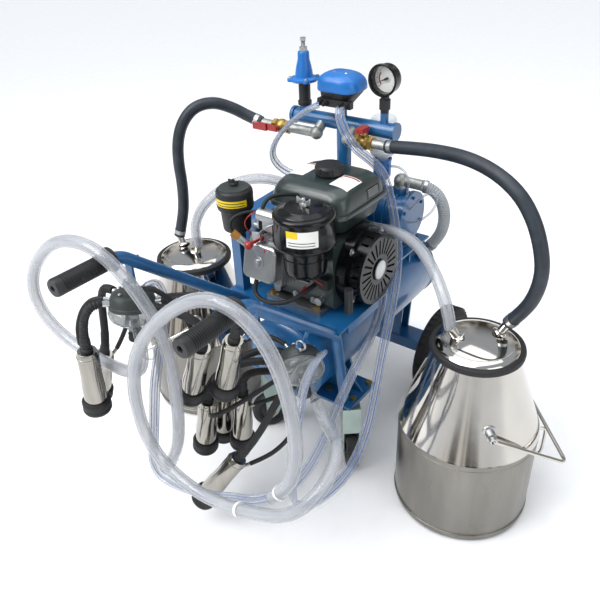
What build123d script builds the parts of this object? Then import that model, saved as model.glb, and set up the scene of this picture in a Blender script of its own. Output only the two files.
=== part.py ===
"""Engine-driven milking machine for two buckets, all sizes in millimetres.

X runs across the trolley, +Y points from the handles to the wheels, and +Z is up.
The origin lies on the floor, under the middle of the machine.
"""
import math
import os

from build123d import *

os.makedirs("parts", exist_ok=True)

# ---- driving dimensions -------------------------------------------------------
TANK_RADIUS = 100
TANK_WALL = 3
TANK_Z = 320
TANK_FRONT = -87
TANK_BACK = 455
TANK_DOME = 28

DECK_TOP = 436
DECK_THICK = 5
DECK_FRONT = -77
DECK_STEP = 118
DECK_BACK = 425
DECK_HALF = 138

WHEEL_RADIUS = 130
WHEEL_WIDTH = 56
WHEEL_X = 178
WHEEL_Y = 370
RIM_RADIUS = 84
AXLE_RADIUS = 10

CASTER_X = 100
CASTER_Y = 22
CASTER_PLATE_Z = 205
CASTER_TRAIL = (26, -31)
CASTER_WHEEL_RADIUS = 50
CASTER_WHEEL_WIDTH = 28

TUBE_RADIUS = 12
HANDLE_X = 150
HANDLE_Z = 668
HANDLE_BEND_Y = -361
GRIP_END = -500
GRIP_START = -384
GRIP_RADIUS = 17

ENGINE_BOLT_Y = (-37, 148)
CRANK_Y = 66
CRANK_Z = 525
PULLEY_X = -170
PULLEY_WIDTH = 26
ENGINE_PULLEY = 45
PUMP_PULLEY = 60
PUMP_Y = 345
PUMP_Z = 520

MANIFOLD_Y = 225
MANIFOLD_Z = 770
MANIFOLD_RADIUS = 17
MANIFOLD_LEFT = -179
MANIFOLD_RIGHT = 82
POST_X = -46
VALVE_LINE_Y = 193
VALVE_LINE_Z = 747

BUCKET_RADIUS = 150
BUCKET_WALL = 1.5
BUCKET_SHOULDER = 228
NECK_RADIUS = 84
NECK_Z = 412
BUCKETS = {"left": (-382, 25), "right": (382, 65)}
BAIL_TURN = {"left": 180 + 40, "right": 40}
BAIL_PIVOT_Z = 300
BAIL_SIDE = 150
BAIL_REACH = (158, -75)
WIRE_RADIUS = 4

HOSE_RADIUS = {"vacuum": 14, "milk": 12.5, "twin": 9, "suction": 15}
CUP_SHELL = 128
CUP_LIP = 30
CUP_TAIL = 34

GAP = 0.3
RUNNING = 0.05
RUN_SHARE = 0.45
FOOT = (Align.CENTER, Align.CENTER, Align.MIN)
LOW = (Align.MIN, Align.MIN, Align.MIN)


# ---- helpers ------------------------------------------------------------------
def rod(start, end, radius):
    """A round bar between two points."""
    a = Vector(*start)
    b = Vector(*end)
    return Plane(origin=a, z_dir=b - a) * Cylinder(radius, (b - a).length, align=FOOT)


def pipe(start, end, outer, inner):
    """A straight open tube between two points."""
    a = Vector(*start)
    b = Vector(*end)
    step = (b - a).normalized()
    return rod(start, end, outer) - rod(a - step, b + step, inner)


def block(low, high):
    """A box given by its lowest and highest corners."""
    size = [h - l for l, h in zip(low, high)]
    return Pos(*low) * Box(*size, align=LOW)


def turned(profile):
    """A solid of revolution about Z from (radius, height) points."""
    outline = Polyline(*[(r, 0, z) for r, z in profile], close=True)
    return revolve(make_face(outline), Axis.Z)


def along_x(shape, x, y, z):
    """Lay a shape made about Z so that its axis runs along +X from x."""
    return Pos(x, y, z) * Rot(0, 90, 0) * shape


def mirrored(shape):
    """The same shape on the other side of the trolley."""
    return mirror(shape, about=Plane.YZ)


def ring_of(shape, count, radius, start=0.0):
    """Copies of a small shape on a circle about Z."""
    step = 360 / count
    return [Rot(0, 0, start + i * step) * Pos(radius, 0, 0) * shape for i in range(count)]


def bend_path(route, radii):
    """Straight runs joined by tangent arcs."""
    return FilletPolyline(*route, radius=radii)


def bar_along(path, radius):
    """A round bar along a path."""
    section = Plane(origin=path @ 0, z_dir=path % 0) * Circle(radius)
    return sweep(section, path=path)


def cord(name, route, radius):
    """A plain hose: each arc is as large as its two runs allow."""
    points = [Vector(*p) for p in route]
    runs = [(b - a).length for a, b in zip(points, points[1:])]
    radii = []
    for i in range(1, len(points) - 1):
        turn = (points[i] - points[i - 1]).get_angle(points[i + 1] - points[i])
        radii.append(RUN_SHARE * min(runs[i - 1], runs[i]) / math.tan(math.radians(turn / 2)))
    path = bend_path(points, radii)
    tube = bar_along(path, radius)
    ideal = math.pi * radius**2 * path.length
    tightest = min(radii) / (2 * radius)
    print(f"{name}: length {path.length:.0f}, longest run {max(runs):.0f}, "
          f"volume ratio {tube.volume / ideal:.4f}, tightest {tightest:.1f} diameters, "
          f"radii {[round(r) for r in radii]}")
    return tube


def save(name, *shapes):
    """Write one node; its separate pieces stay separate solids."""
    solids = []
    for shape in shapes:
        solids.extend(shape.solids())
    export_step(Compound(children=solids), f"parts/{name}.step")


# ---- vacuum tank and trolley frame --------------------------------------------
def tank_form(radius, front, back, dome):
    """A cylinder along Y with domed ends."""
    shape = [(0, 1), (0.4, 0.92), (0.68, 0.72), (0.88, 0.4), (0.97, 0.14), (1, 0)]
    low = [(radius * r, front - dome * h) for r, h in shape]
    high = [(radius * r, back + dome * h) for r, h in reversed(shape)]
    return Pos(0, 0, TANK_Z) * Rot(-90, 0, 0) * turned(low + high)


TANK_SOLID = tank_form(TANK_RADIUS, TANK_FRONT, TANK_BACK, TANK_DOME)
DRAIN_Y = 200
NIPPLE_BASE = (74, 392, 375)
NIPPLE_END = (108, 392, 424)


def vacuum_tank():
    inner = tank_form(TANK_RADIUS - TANK_WALL, TANK_FRONT, TANK_BACK, TANK_DOME - TANK_WALL)
    seams = [rod((0, y - 3, TANK_Z), (0, y + 3, TANK_Z), TANK_RADIUS + 2)
             for y in (TANK_FRONT, TANK_BACK)]
    drain = rod((0, DRAIN_Y, TANK_Z - TANK_RADIUS - 14), (0, DRAIN_Y, TANK_Z - TANK_RADIUS + 4), 11)
    nipple = rod(NIPPLE_BASE, NIPPLE_END, 12)
    shell = TANK_SOLID + seams[0] + seams[1] + drain + nipple
    base = Vector(*NIPPLE_BASE)
    reach = Vector(*NIPPLE_END) - base
    return shell - inner - rod(base - reach * 0.3, base + reach * 1.2, 9)


TANK_CLEAR = TANK_SOLID
for seam_y in (TANK_FRONT, TANK_BACK):
    TANK_CLEAR += rod((0, seam_y - 3, TANK_Z), (0, seam_y + 3, TANK_Z), TANK_RADIUS + 2)


def cradle(y, thick, bottom, half_low, half_high, top):
    """A plate across the trolley, cut to the tank's curve."""
    face = make_face(Polyline((-half_low, 0, bottom), (half_low, 0, bottom), (half_high, 0, top),
                              (-half_high, 0, top), close=True))
    plate = Pos(0, y + thick, 0) * extrude(face, amount=thick, dir=(0, -1, 0))
    return plate - TANK_CLEAR


def caster_bolt_places():
    return [(sx * CASTER_X + dx, CASTER_Y + dy) for sx in (-1, 1) for dx in (-34, 34) for dy in (-34, 34)]


def front_base():
    z = CASTER_PLATE_Z
    plate = block((-146, -45, z), (146, 68, z + 6))
    body = plate
    for y in (2, 36):
        body += cradle(y, 6, z + 6, 112, 92, 286)
    for side in (-1, 1):
        rib = make_face(Polyline((side * 84, 0, z + 6), (side * 138, 0, z + 6), (side * 88, 0, z + 62),
                                 close=True))
        body += Pos(0, 25, 0) * extrude(rib, amount=6, dir=(0, -1, 0)) - TANK_CLEAR
    plates = [block((s * CASTER_X - 46, CASTER_Y - 46, z - 4), (s * CASTER_X + 46, CASTER_Y + 46, z))
              for s in (-1, 1)]
    for x, y in caster_bolt_places():
        hole = rod((x, y, z - 6), (x, y, z + 8), 4)
        body -= hole
        plates = [p - hole for p in plates]
    pins = [rod((s * CASTER_X, CASTER_Y, z - 20), (s * CASTER_X, CASTER_Y, z - 4), 8) for s in (-1, 1)]
    plates = [p + pin for p, pin in zip(plates, pins)]
    return [body] + plates


def rear_beam():
    top = 148
    beam = block((-136, WHEEL_Y - 24, top - 32), (136, WHEEL_Y + 36, top))
    beam -= block((-137, WHEEL_Y - 20, top - 33), (137, WHEEL_Y + 32, top - 4))
    ends = [block((s * 136 - (4 if s > 0 else 0), WHEEL_Y - 20, top - 32),
                  (s * 136 + (4 if s < 0 else 0), WHEEL_Y + 32, top - 4)) for s in (-1, 1)]
    body = beam + ends[0] + ends[1]
    for y in (WHEEL_Y - 22, WHEEL_Y + 26):
        body += cradle(y, 6, top, 58, 66, 270)
    axle = rod((-224, WHEEL_Y, WHEEL_RADIUS), (224, WHEEL_Y, WHEEL_RADIUS), AXLE_RADIUS)
    body -= axle
    washers = []
    for side in (-1, 1):
        for x in (WHEEL_X - 36, WHEEL_X + 33):
            washers.append(pipe((side * x, WHEEL_Y, WHEEL_RADIUS), (side * (x + 3), WHEEL_Y, WHEEL_RADIUS),
                                17, AXLE_RADIUS))
    return [body, axle] + washers


# ---- wheels and casters -------------------------------------------------------
def wheel_rim():
    """Pressed rim about Z, centred on its own middle."""
    hub = turned([(AXLE_RADIUS + RUNNING, -31), (22, -31), (22, 31), (AXLE_RADIUS + RUNNING, 31)])
    disc = turned([(20, 2), (52, 8), (79, 2), (79, 5), (52, 11), (20, 6)])
    well = turned([(77, -20), (RIM_RADIUS, -22), (88, -27), (90, -25), (RIM_RADIUS, -19), (80, -16),
                   (80, 16), (RIM_RADIUS, 19), (90, 25), (88, 27), (RIM_RADIUS, 22), (77, 20)])
    rim = hub + disc + well
    for hole in ring_of(Cylinder(6, 60), 5, 40):
        rim -= hole
    return rim


def wheel_tyre():
    half = WHEEL_WIDTH / 2
    carcass = turned([(RIM_RADIUS + 7.5, -24), (RIM_RADIUS + 10, -half + 1), (108, -half), (122, -half + 5),
                      (WHEEL_RADIUS, -half + 14), (WHEEL_RADIUS, half - 14), (122, half - 5),
                      (108, half), (RIM_RADIUS + 10, half - 1), (RIM_RADIUS + 7.5, 24),
                      (RIM_RADIUS + 0.5, 16), (RIM_RADIUS + 0.5, -16)])
    air = turned([(RIM_RADIUS + 8, -12), (104, -21), (119, -14), (119, 14), (104, 21), (RIM_RADIUS + 8, 12)])
    return carcass - air


def caster_axle_point(side):
    return (side * CASTER_X + side * CASTER_TRAIL[0], CASTER_Y + CASTER_TRAIL[1], CASTER_WHEEL_RADIUS)


def caster_heading(side):
    """Angle about Z that turns +X to the trailing direction."""
    return math.degrees(math.atan2(CASTER_TRAIL[1], side * CASTER_TRAIL[0]))


def caster_fork():
    """Fork about the swivel axis, trailing along +X, at floor height."""
    trail = math.hypot(*CASTER_TRAIL)
    top = CASTER_PLATE_Z - 4 - GAP
    race = Pos(0, 0, top - 14) * Cylinder(27, 14, align=FOOT)
    race -= rod((0, 0, top - 20), (0, 0, top + 1), 8 + RUNNING)
    crown = block((-26, -21, top - 19), (trail + 18, 21, top - 14))
    crown -= rod((0, 0, top - 20), (0, 0, top + 1), 8 + RUNNING)
    body = race + crown
    for side in (-1, 1):
        cheek = make_face(Polyline((-26, 0, top - 14), (trail + 18, 0, top - 14), (trail + 14, 0, 44),
                                   (trail, 0, 34), (trail - 14, 0, 44), (-20, 0, top - 60), close=True))
        face_y = 18 if side > 0 else -21
        body += Pos(0, face_y + 3, 0) * extrude(cheek, amount=3, dir=(0, -1, 0))
    cover = block((trail + 14, -21, 112), (trail + 18, 21, top - 14))
    body += cover
    axle = rod((trail, -24, CASTER_WHEEL_RADIUS), (trail, 24, CASTER_WHEEL_RADIUS), 4)
    return body + axle


def caster_wheel():
    """Wheel about Z at its own middle."""
    half = CASTER_WHEEL_WIDTH / 2
    outline = [(4 + RUNNING, -17), (11, -17), (14, -half), (30, -8), (36, -half), (46, -half),
               (CASTER_WHEEL_RADIUS, -half + 6), (CASTER_WHEEL_RADIUS, half - 6), (46, half), (36, half),
               (30, 8), (14, half), (11, 17), (4 + RUNNING, 17)]
    return turned(outline)


# ---- handles ------------------------------------------------------------------
HANDLE_ROUTE = [(118, -25, 211), (118, -58, 415), (HANDLE_X, HANDLE_BEND_Y, HANDLE_Z),
                (HANDLE_X, GRIP_END + 8, HANDLE_Z)]


EYE_MAJOR = 10
EYE_MINOR = 2.5
PEG_RADIUS = 4


def handle_tube():
    return bar_along(bend_path(HANDLE_ROUTE, [40, 60]), TUBE_RADIUS)


def handle_frame():
    """Both bent tubes, their hanging pegs and the low peg of the right cluster."""
    side = handle_tube() - block((90, -80, 190), (150, 20, CASTER_PLATE_Z + 6))
    side += block((HANDLE_X - 9, -345, 600), (HANDLE_X + 9, -340, HANDLE_Z - 10))
    side += rod((HANDLE_X, -342, 606), (HANDLE_X, -364, 606), PEG_RADIUS)
    side += block((HANDLE_X - 2.5, -344, 640), (HANDLE_X + 2.5, -318, 650))
    left = mirrored(side)
    eye = Vector(*CLAWS["right"]["eye"])
    peg = eye + Vector(0, 12, EYE_MAJOR - EYE_MINOR - PEG_RADIUS)
    side += rod(peg, peg - Vector(0, 24, 0), PEG_RADIUS)
    side += rod(peg, Vector(131, peg.Y, 508), PEG_RADIUS)
    return [side, left]


def handle_grips():
    bore = TUBE_RADIUS
    grip = rod((HANDLE_X, GRIP_START, HANDLE_Z), (HANDLE_X, GRIP_END, HANDLE_Z), GRIP_RADIUS)
    grip += rod((HANDLE_X, GRIP_START, HANDLE_Z), (HANDLE_X, GRIP_START - 8, HANDLE_Z), GRIP_RADIUS + 7)
    grip -= rod((HANDLE_X, GRIP_START + 1, HANDLE_Z), (HANDLE_X, GRIP_END + 8, HANDLE_Z), bore)
    return [grip, mirrored(grip)]


# ---- deck, engine and pump ----------------------------------------------------
CANISTER_POST = (-152, -42)


def engine_platform():
    low = DECK_TOP - DECK_THICK
    deck = block((-DECK_HALF, DECK_FRONT, low), (DECK_HALF, DECK_STEP, DECK_TOP))
    deck += block((-90, DECK_STEP, low), (90, DECK_BACK, DECK_TOP))
    deck += block((-196, 90, low), (-90, 300, DECK_TOP))
    deck += block((-176, -66, low), (-DECK_HALF, -18, DECK_TOP))
    for side in (-1, 1):
        edge = side * DECK_HALF
        inner = edge - side * 4
        deck += block((min(edge, inner), -40, low - 16), (max(edge, inner), 85, low))
    for y in (-30, 60, 176, 250, 350):
        deck += cradle(y, 6, 384, 74, 74, low)
    for sx in (-1, 1):
        for y in ENGINE_BOLT_Y:
            deck -= rod((sx * 60 - 5, y, low - 2), (sx * 60 - 5, y, DECK_TOP + 1), 4.5)
    x, y = CANISTER_POST
    post = block((x - 12, y - 12, DECK_TOP), (x + 12, y + 12, 580))
    post -= block((x - 9, y - 9, DECK_TOP - 1), (x + 9, y + 9, 574))
    tube = handle_tube()
    return [deck + post - tube - mirrored(tube)]


HEAD_TILT = 14
HEAD_X = -36


def on_head(shape):
    """Place a shape made along +Z onto the cylinder axis, leaning forward."""
    return Pos(HEAD_X, CRANK_Y, CRANK_Z) * Rot(90 - HEAD_TILT, 0, 0) * shape


def case_form():
    case = block((-68, -28, DECK_TOP + 12), (92, 136, 600))
    return fillet(case.edges().filter_by(Axis.X), 14)


def head_form():
    """Finned cylinder and head, on the leaning axis."""
    body = on_head(Pos(0, 0, 60) * Box(74, 74, 90, align=FOOT))
    for i in range(6):
        body += on_head(Pos(0, 0, 82 + 10 * i) * Box(92, 88, 3, align=FOOT))
    return body + on_head(Pos(0, 0, 140) * Box(92, 88, 20, align=FOOT))


def crankcase():
    base = block((-78, -46, DECK_TOP), (68, 158, DECK_TOP + 12))
    body = base + case_form() + head_form()
    body += rod((-84, CRANK_Y, CRANK_Z), (-60, CRANK_Y, CRANK_Z), 34)
    body -= rod((-90, CRANK_Y, CRANK_Z), (-40, CRANK_Y, CRANK_Z), AXLE_RADIUS + RUNNING)
    for sx in (-1, 1):
        for y in ENGINE_BOLT_Y:
            body -= rod((sx * 60 - 5, y, DECK_TOP - 1), (sx * 60 - 5, y, DECK_TOP + 13), 4.5)
    return [body]


def valve_cover():
    cover = Box(84, 78, 24, align=FOOT)
    cover = fillet(cover.edges().filter_by(Axis.Z), 14)
    cover = fillet(cover.faces().sort_by(Axis.Z)[-1].edges(), 6)
    nut = Pos(0, 0, 24) * Cylinder(7, 5, align=FOOT)
    return [on_head(Pos(0, 0, 160) * (cover + nut))]


RECOIL_X = 92


def recoil_cover():
    shroud = Cylinder(88, 24, align=FOOT) - Pos(0, 0, -1) * Cylinder(85, 23, align=FOOT)
    dome = Pos(0, 0, 24) * Cylinder(78, 32, align=FOOT) - Pos(0, 0, 20) * Cylinder(75, 33, align=FOOT)
    body = shroud + dome
    for slot in ring_of(Pos(0, 0, 50) * Box(34, 5, 20), 24, 52):
        body -= slot
    for slot in ring_of(Pos(0, 0, 40) * Box(10, 6, 18), 20, 77, 9):
        body -= slot
    body -= Pos(0, 0, 22) * Cylinder(70, 5)
    boss = Pos(0, 0, 50) * Cylinder(24, 9, align=FOOT)
    body += boss
    housing = along_x(body, RECOIL_X, CRANK_Y, CRANK_Z)
    exit_hole = rod((RECOIL_X + 44, -30, 496), (RECOIL_X + 44, 20, 496), 4)
    return [housing - exit_hole]


def recoil_handle():
    x, z = RECOIL_X + 44, 496
    grip = rod((x, -36, z - 28), (x, -36, z + 28), 9)
    neck = rod((x, -36, z), (x, -24, z), 6)
    rope = rod((x, -26, z), (x, 56, z), 2.2)
    return [grip + neck + rope]


FUEL_X = -7
FUEL_Y = 102


def fuel_tank():
    lip = Pos(FUEL_X, FUEL_Y, 642) * Box(206, 194, 10, align=FOOT)
    lip = fillet(lip.edges().filter_by(Axis.Z), 26)
    upper = Plane.XY.offset(652) * Pos(FUEL_X, FUEL_Y) * RectangleRounded(194, 182, 24)
    lid = extrude(upper, amount=48, taper=14)
    lid = fillet(lid.faces().sort_by(Axis.Z)[-1].edges(), 8)
    pan = Plane.XY.offset(642) * Pos(FUEL_X, FUEL_Y) * RectangleRounded(186, 172, 22)
    lower = extrude(pan, amount=-40, taper=10)
    neck = Pos(0, 97, 700) * Cylinder(22, 6, align=FOOT)
    return [lip + lid + lower + neck]


def fuel_cap():
    crown = turned([(0, 708), (22.5, 708), (22.5, 702), (29, 702), (31, 705), (31, 718), (28, 723), (0, 724)])
    for notch in ring_of(Pos(0, 0, 713) * Cylinder(4.5, 24), 8, 34):
        crown -= notch
    return [Pos(0, 97, 0) * crown]


AIR_X, AIR_Y = 58, -75
AIR_RADIUS = 62


def air_cleaner():
    bowl = turned([(0, 560), (38, 560), (43, 566), (45.5, 600), (50, 622), (50, 626), (0, 626)])
    rim = AIR_RADIUS
    top = turned([(0, 626), (rim - 4, 626), (rim, 630), (rim, 690), (rim - 5, 700), (20, 705), (0, 706)])
    stud = turned([(0, 706), (4, 706), (4, 722), (0, 722)])
    wings = Pos(0, 0, 714) * Box(30, 4, 10) + Pos(0, 0, 710) * Cylinder(8, 8)
    stud += wings - Cylinder(62, 1412)
    return [Pos(AIR_X, AIR_Y, 0) * piece for piece in (bowl, top, stud)]


CARB_Y, CARB_Z = -66, 655


def engine_fittings():
    """Carburettor, muffler, spark plug, switch and drain plugs."""
    filter_edge = Pos(AIR_X, AIR_Y, 660) * Cylinder(AIR_RADIUS, 80)
    carb = rod((-62, CARB_Y, CARB_Z), (20, CARB_Y, CARB_Z), 15)
    carb += block((-46, CARB_Y - 14, 628), (-20, CARB_Y + 16, CARB_Z))
    carb += block((-42, CARB_Y - 6, 596), (-28, CARB_Y + 6, 630))
    carb = carb - filter_edge - head_form()
    muffler = block((-128, 0, 562), (-74, 92, 600))
    muffler = fillet(muffler.edges().filter_by(Axis.Y), 10)
    pipe_run = rod((-98, 10, 584), (-76, -52, 590), 9) - head_form()
    plug = rod((-83, -84, 584), (-104, -92, 600), 8) - head_form() - valve_cover()[0]
    boot = rod((-104, -92, 600), (-116, -97, 612), 9)
    switch = block((66, -44, 506), (88, -28, 530))
    oil_plugs = [rod((x, -28, 468), (x, -40, 468), 9) for x in (-50, 60)]
    return [carb, muffler + pipe_run, plug + boot, switch] + oil_plugs


def choke_lever():
    """Flat arm on the end of the carburettor, turning about X."""
    arm = block((-66, CARB_Y - 7, CARB_Z - 34), (-62 - GAP, CARB_Y + 7, CARB_Z + 8))
    arm = fillet(arm.edges().filter_by(Axis.X), 6)
    knob = rod((-78, CARB_Y, CARB_Z - 27), (-66, CARB_Y, CARB_Z - 27), 6)
    return [arm + knob]


THROTTLE = (-50, -86, 612)


def throttle_lever():
    """Arm with a round knob on the governor plate, turning about X."""
    x, y, z = THROTTLE
    arm = block((x, y - 34, z - 3), (x + 4, y + 5, z + 3))
    hub = rod((x, y, z), (x + 8, y, z), 5)
    knob = Pos(x + 2, y - 38, z) * Sphere(9)
    return [arm + hub + knob]


def pulley(radius, bore_end, y, z):
    """Grooved pulley with its shaft, along X."""
    half = PULLEY_WIDTH / 2
    outline = [(0, -half), (radius + 10, -half), (radius + 10, -8), (radius, -5), (radius, 5),
               (radius + 10, 8), (radius + 10, half), (0, half)]
    body = turned(outline)
    for hole in ring_of(Cylinder(7, 60), 5, radius * 0.6):
        body -= hole
    wheel = along_x(body, PULLEY_X, y, z)
    shaft = rod((PULLEY_X, y, z), (bore_end, y, z), AXLE_RADIUS)
    return [wheel + shaft]


def belt_loop(extra, low, high):
    """The closed outline round both pulleys, extruded along X."""
    circles = [Pos(CRANK_Y, CRANK_Z) * Circle(ENGINE_PULLEY + extra),
               Pos(PUMP_Y, PUMP_Z) * Circle(PUMP_PULLEY + extra)]
    hull = make_hull([c.edge() for c in circles])
    flat = Plane.YZ.offset(low) * hull
    return extrude(flat, amount=high - low)


def drive_belt():
    return [belt_loop(9, PULLEY_X - 4.5, PULLEY_X + 4.5) - belt_loop(GAP, PULLEY_X - 6, PULLEY_X + 6)]


def belt_guard():
    shell = belt_loop(26, -204, -140) - belt_loop(23, -201, -139)
    feet = block((-196, 150, DECK_TOP), (-170, 240, 460)) - belt_loop(26, -204, -139)
    shell += feet
    for i in range(7):
        y = 115 + 32 * i
        shell -= block((-206, y, 500), (-200, y + 12, 545))
    return [shell]


def vacuum_pump():
    body = rod((-66, PUMP_Y, PUMP_Z), (78, PUMP_Y, PUMP_Z), 58)
    for x in (-66, 66):
        body += rod((x, PUMP_Y, PUMP_Z), (x + 12, PUMP_Y, PUMP_Z), 64)
    for i in range(5):
        x = -42 + 21 * i
        body += rod((x, PUMP_Y, PUMP_Z), (x + 4, PUMP_Y, PUMP_Z), 63)
    body += block((-58, PUMP_Y - 55, DECK_TOP), (70, PUMP_Y + 55, DECK_TOP + 10))
    body += block((-40, PUMP_Y - 40, DECK_TOP + 8), (52, PUMP_Y + 40, PUMP_Z))
    body += rod((42, PUMP_Y, PUMP_Z), (42, PUMP_Y, 592), 19)
    body += rod((-12, PUMP_Y, PUMP_Z), (-12, PUMP_Y, 600), 10)
    body -= rod((-90, PUMP_Y, PUMP_Z), (-50, PUMP_Y, PUMP_Z), AXLE_RADIUS + RUNNING)
    body += ring_bolts(79, PUMP_Y, PUMP_Z, 50)
    return [body]


def ring_bolts(x, y, z, radius):
    bolts = ring_of(Cylinder(4, 5, align=FOOT), 6, radius)
    group = bolts[0]
    for bolt in bolts[1:]:
        group += bolt
    return along_x(group, x - 1, y, z)


def oil_reservoir():
    x, y = -12, PUMP_Y
    cup = turned([(0, 600), (12, 600), (22, 612), (22, 655), (19, 655), (19, 614), (0, 606)])
    bottle = turned([(0, 625), (14, 625), (14, 658), (33, 672), (33, 752), (26, 762), (0, 762)])
    return [Pos(x, y, 0) * cup, Pos(x, y, 0) * bottle]


def exhaust_canister():
    x, y = CANISTER_POST
    body = turned([(0, 580), (15, 580), (18, 586), (31, 590), (34, 640), (40, 644), (40, 682), (36, 688),
                   (8, 690), (8, 696), (3.5, 696), (3.5, 704), (0, 704)])
    body += Pos(0, 0, 698) * Box(26, 4, 9) - Cylinder(8, 1392)
    return [Pos(x, y, 0) * body]


# ---- manifold, regulator, gauge, pulsator and valves ---------------------------
def manifold():
    y, z = MANIFOLD_Y, MANIFOLD_Z
    body = rod((MANIFOLD_LEFT, y, z), (MANIFOLD_RIGHT, y, z), MANIFOLD_RADIUS)
    body += rod((MANIFOLD_LEFT - 8, y, z), (MANIFOLD_LEFT, y, z), MANIFOLD_RADIUS + 3)
    body += rod((MANIFOLD_RIGHT, y, z), (MANIFOLD_RIGHT + 8, y, z), MANIFOLD_RADIUS + 3)
    body += rod((POST_X, y, DECK_TOP), (POST_X, y, z), 17)
    body += block((POST_X - 26, y - 19, DECK_TOP), (POST_X + 26, y + 26, DECK_TOP + 6))
    body += rod((-154, y, z), (-154, y, 797), 12)
    body += rod((58, y, z), (58, y, 808), 9)
    body += rod((-47, y, z), (-47, y, 812), 8)
    return [body]


def regulator_body():
    sleeve = turned([(0, 797), (16, 797), (16, 806), (13.5, 808), (13.5, 848), (0, 848)])
    bell = turned([(0, 848), (20, 848), (33, 853), (33, 857), (20, 860), (20, 872), (13, 900), (13, 912),
                   (10, 916), (5.05, 916), (5.05, 890), (0, 890)])
    lugs = ring_of(Cylinder(8, 7), 4, 31, 45)
    for lug in lugs:
        bell += Pos(0, 0, 854.5) * lug
    return [Pos(-154, MANIFOLD_Y, 0) * piece for piece in (sleeve, bell)]


def regulator_screw():
    screw = turned([(0, 892), (5, 892), (5, 916.3), (9, 916.3), (9, 924), (5, 924), (5, 944), (0, 944)])
    head = Pos(0, 0, 938) * extrude(RegularPolygon(7, 6), amount=6)
    return [Pos(-154, MANIFOLD_Y, 0) * (screw + head)]


GAUGE = (58, MANIFOLD_Y, 878)


def gauge_frame(shape):
    """Turn a shape made about Z so that it faces the handles."""
    return Pos(*GAUGE) * Rot(90, 0, 0) * shape


def gauge_case():
    cup = turned([(0, -14), (28, -14), (31, -10), (31, 10), (34, 11), (34, 16), (28, 16), (28, -6), (0, -6)])
    dial = turned([(0, -6), (28, -6), (28, -4), (0, -4)]) - Cylinder(3, 40)
    lens = turned([(0, 9), (28, 9), (28, 11), (0, 12)])
    x, y, _ = GAUGE
    stem = rod((x, y, 808), (x, y, 848), 9)
    stem += rod((x, y, 816), (x, y, 836), 12)
    case = gauge_frame(cup)
    return [case + (stem - case), gauge_frame(dial), gauge_frame(lens)]


def gauge_needle():
    pin = Pos(0, 0, -3.5) * Cylinder(2.5, 7, align=FOOT)
    pointer = make_face(Polyline((-7, -2, 0), (0, -1.6, 0), (23, -0.3, 0), (23, 0.3, 0), (0, 1.6, 0),
                                 (-7, 2, 0), close=True))
    blade = Rot(0, 0, 205) * extrude(pointer, amount=1)
    return [gauge_frame(pin + blade)]


PULSATOR = (-47, MANIFOLD_Y - 3, 812)
PULSATOR_NIPPLES = [-81, -67, -27, -13]


def pulsator():
    x, y, z = PULSATOR
    base = Pos(x, y, z) * Box(88, 78, 36, align=FOOT)
    base = fillet(base.edges().filter_by(Axis.Z), 16)
    for nx in PULSATOR_NIPPLES:
        base += rod((nx, y - 30, z + 12), (nx, y - 50, z + 8), 5)
    cover = Plane.XY.offset(z + 36) * Pos(x, y) * RectangleRounded(102, 88, 24)
    hood = extrude(cover, amount=36, taper=6)
    hood = fillet(hood.faces().sort_by(Axis.Z)[-1].edges(), 12)
    screw = Pos(x + 34, y, z + 66) * Cylinder(4, 8, align=FOOT)
    return [base, hood + screw]


VALVES = {"left": -200, "right": 28}
NIPPLE_ENDS = {"left": -263, "right": 84}
BRANCHES = {"left": -100, "right": -14}
STEM = 22


def valve_body(x):
    y, z = VALVE_LINE_Y, VALVE_LINE_Z
    body = rod((x - 20, y, z), (x + 20, y, z), 13)
    body += Pos(x, y, z) * Sphere(17)
    hexagon = extrude(RegularPolygon(16, 6), amount=10)
    for end in (-22, 12):
        body += along_x(hexagon, x + end, y, z)
    return body


def valve_run(name):
    """Elbow off the header, valve and hose nipple."""
    y, z = VALVE_LINE_Y, VALVE_LINE_Z
    x = VALVES[name]
    start = BRANCHES[name]
    run = rod((start, MANIFOLD_Y, MANIFOLD_Z), (start, y, z), 12)
    run += Pos(start, y, z) * Sphere(15)
    run += rod((start, y, z), (x, y, z), 11)
    run += rod((x, y, z), (NIPPLE_ENDS[name], y, z), 10)
    run += valve_body(x)
    stem = (0, -STEM, 0) if name == "left" else (0, 0, STEM)
    run += rod((x, y, z), (x + stem[0], y + stem[1], z + stem[2]), 7)
    header = rod((MANIFOLD_LEFT - 8, MANIFOLD_Y, MANIFOLD_Z), (90, MANIFOLD_Y, MANIFOLD_Z), MANIFOLD_RADIUS)
    return run - header


def pipe_fittings():
    suction = rod((42, PUMP_Y, 592), (42, PUMP_Y, 600), 17)
    suction += Pos(42, PUMP_Y, 608) * Sphere(18) - block((20, PUMP_Y - 20, 580), (64, PUMP_Y + 20, 592))
    suction += rod((42, PUMP_Y, 608), SUCTION[0], 13)
    return [valve_run(name) for name in VALVES] + [suction]


def valve_lever_left():
    """Long lever in front of its valve, turning about Y."""
    arm = block((-64, -7, 0), (8, 7, 4))
    arm = fillet(arm.edges().filter_by(Axis.Z), 6) + block((-66, -8, 0), (-26, 8, 8))
    place = Pos(VALVES["left"], VALVE_LINE_Y - STEM - GAP, VALVE_LINE_Z) * Rot(90, 0, 0)
    return [place * (arm + Cylinder(5, 8, align=FOOT))]


def valve_lever_right():
    """Short bar handle on top of its valve, turning about Z."""
    grip = block((-9, -26, 3), (9, 9, 13))
    grip = fillet(grip.edges().filter_by(Axis.Z), 6) + Cylinder(8, 6, align=FOOT)
    return [Pos(VALVES["right"], VALVE_LINE_Y, VALVE_LINE_Z + STEM + GAP) * grip]


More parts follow.
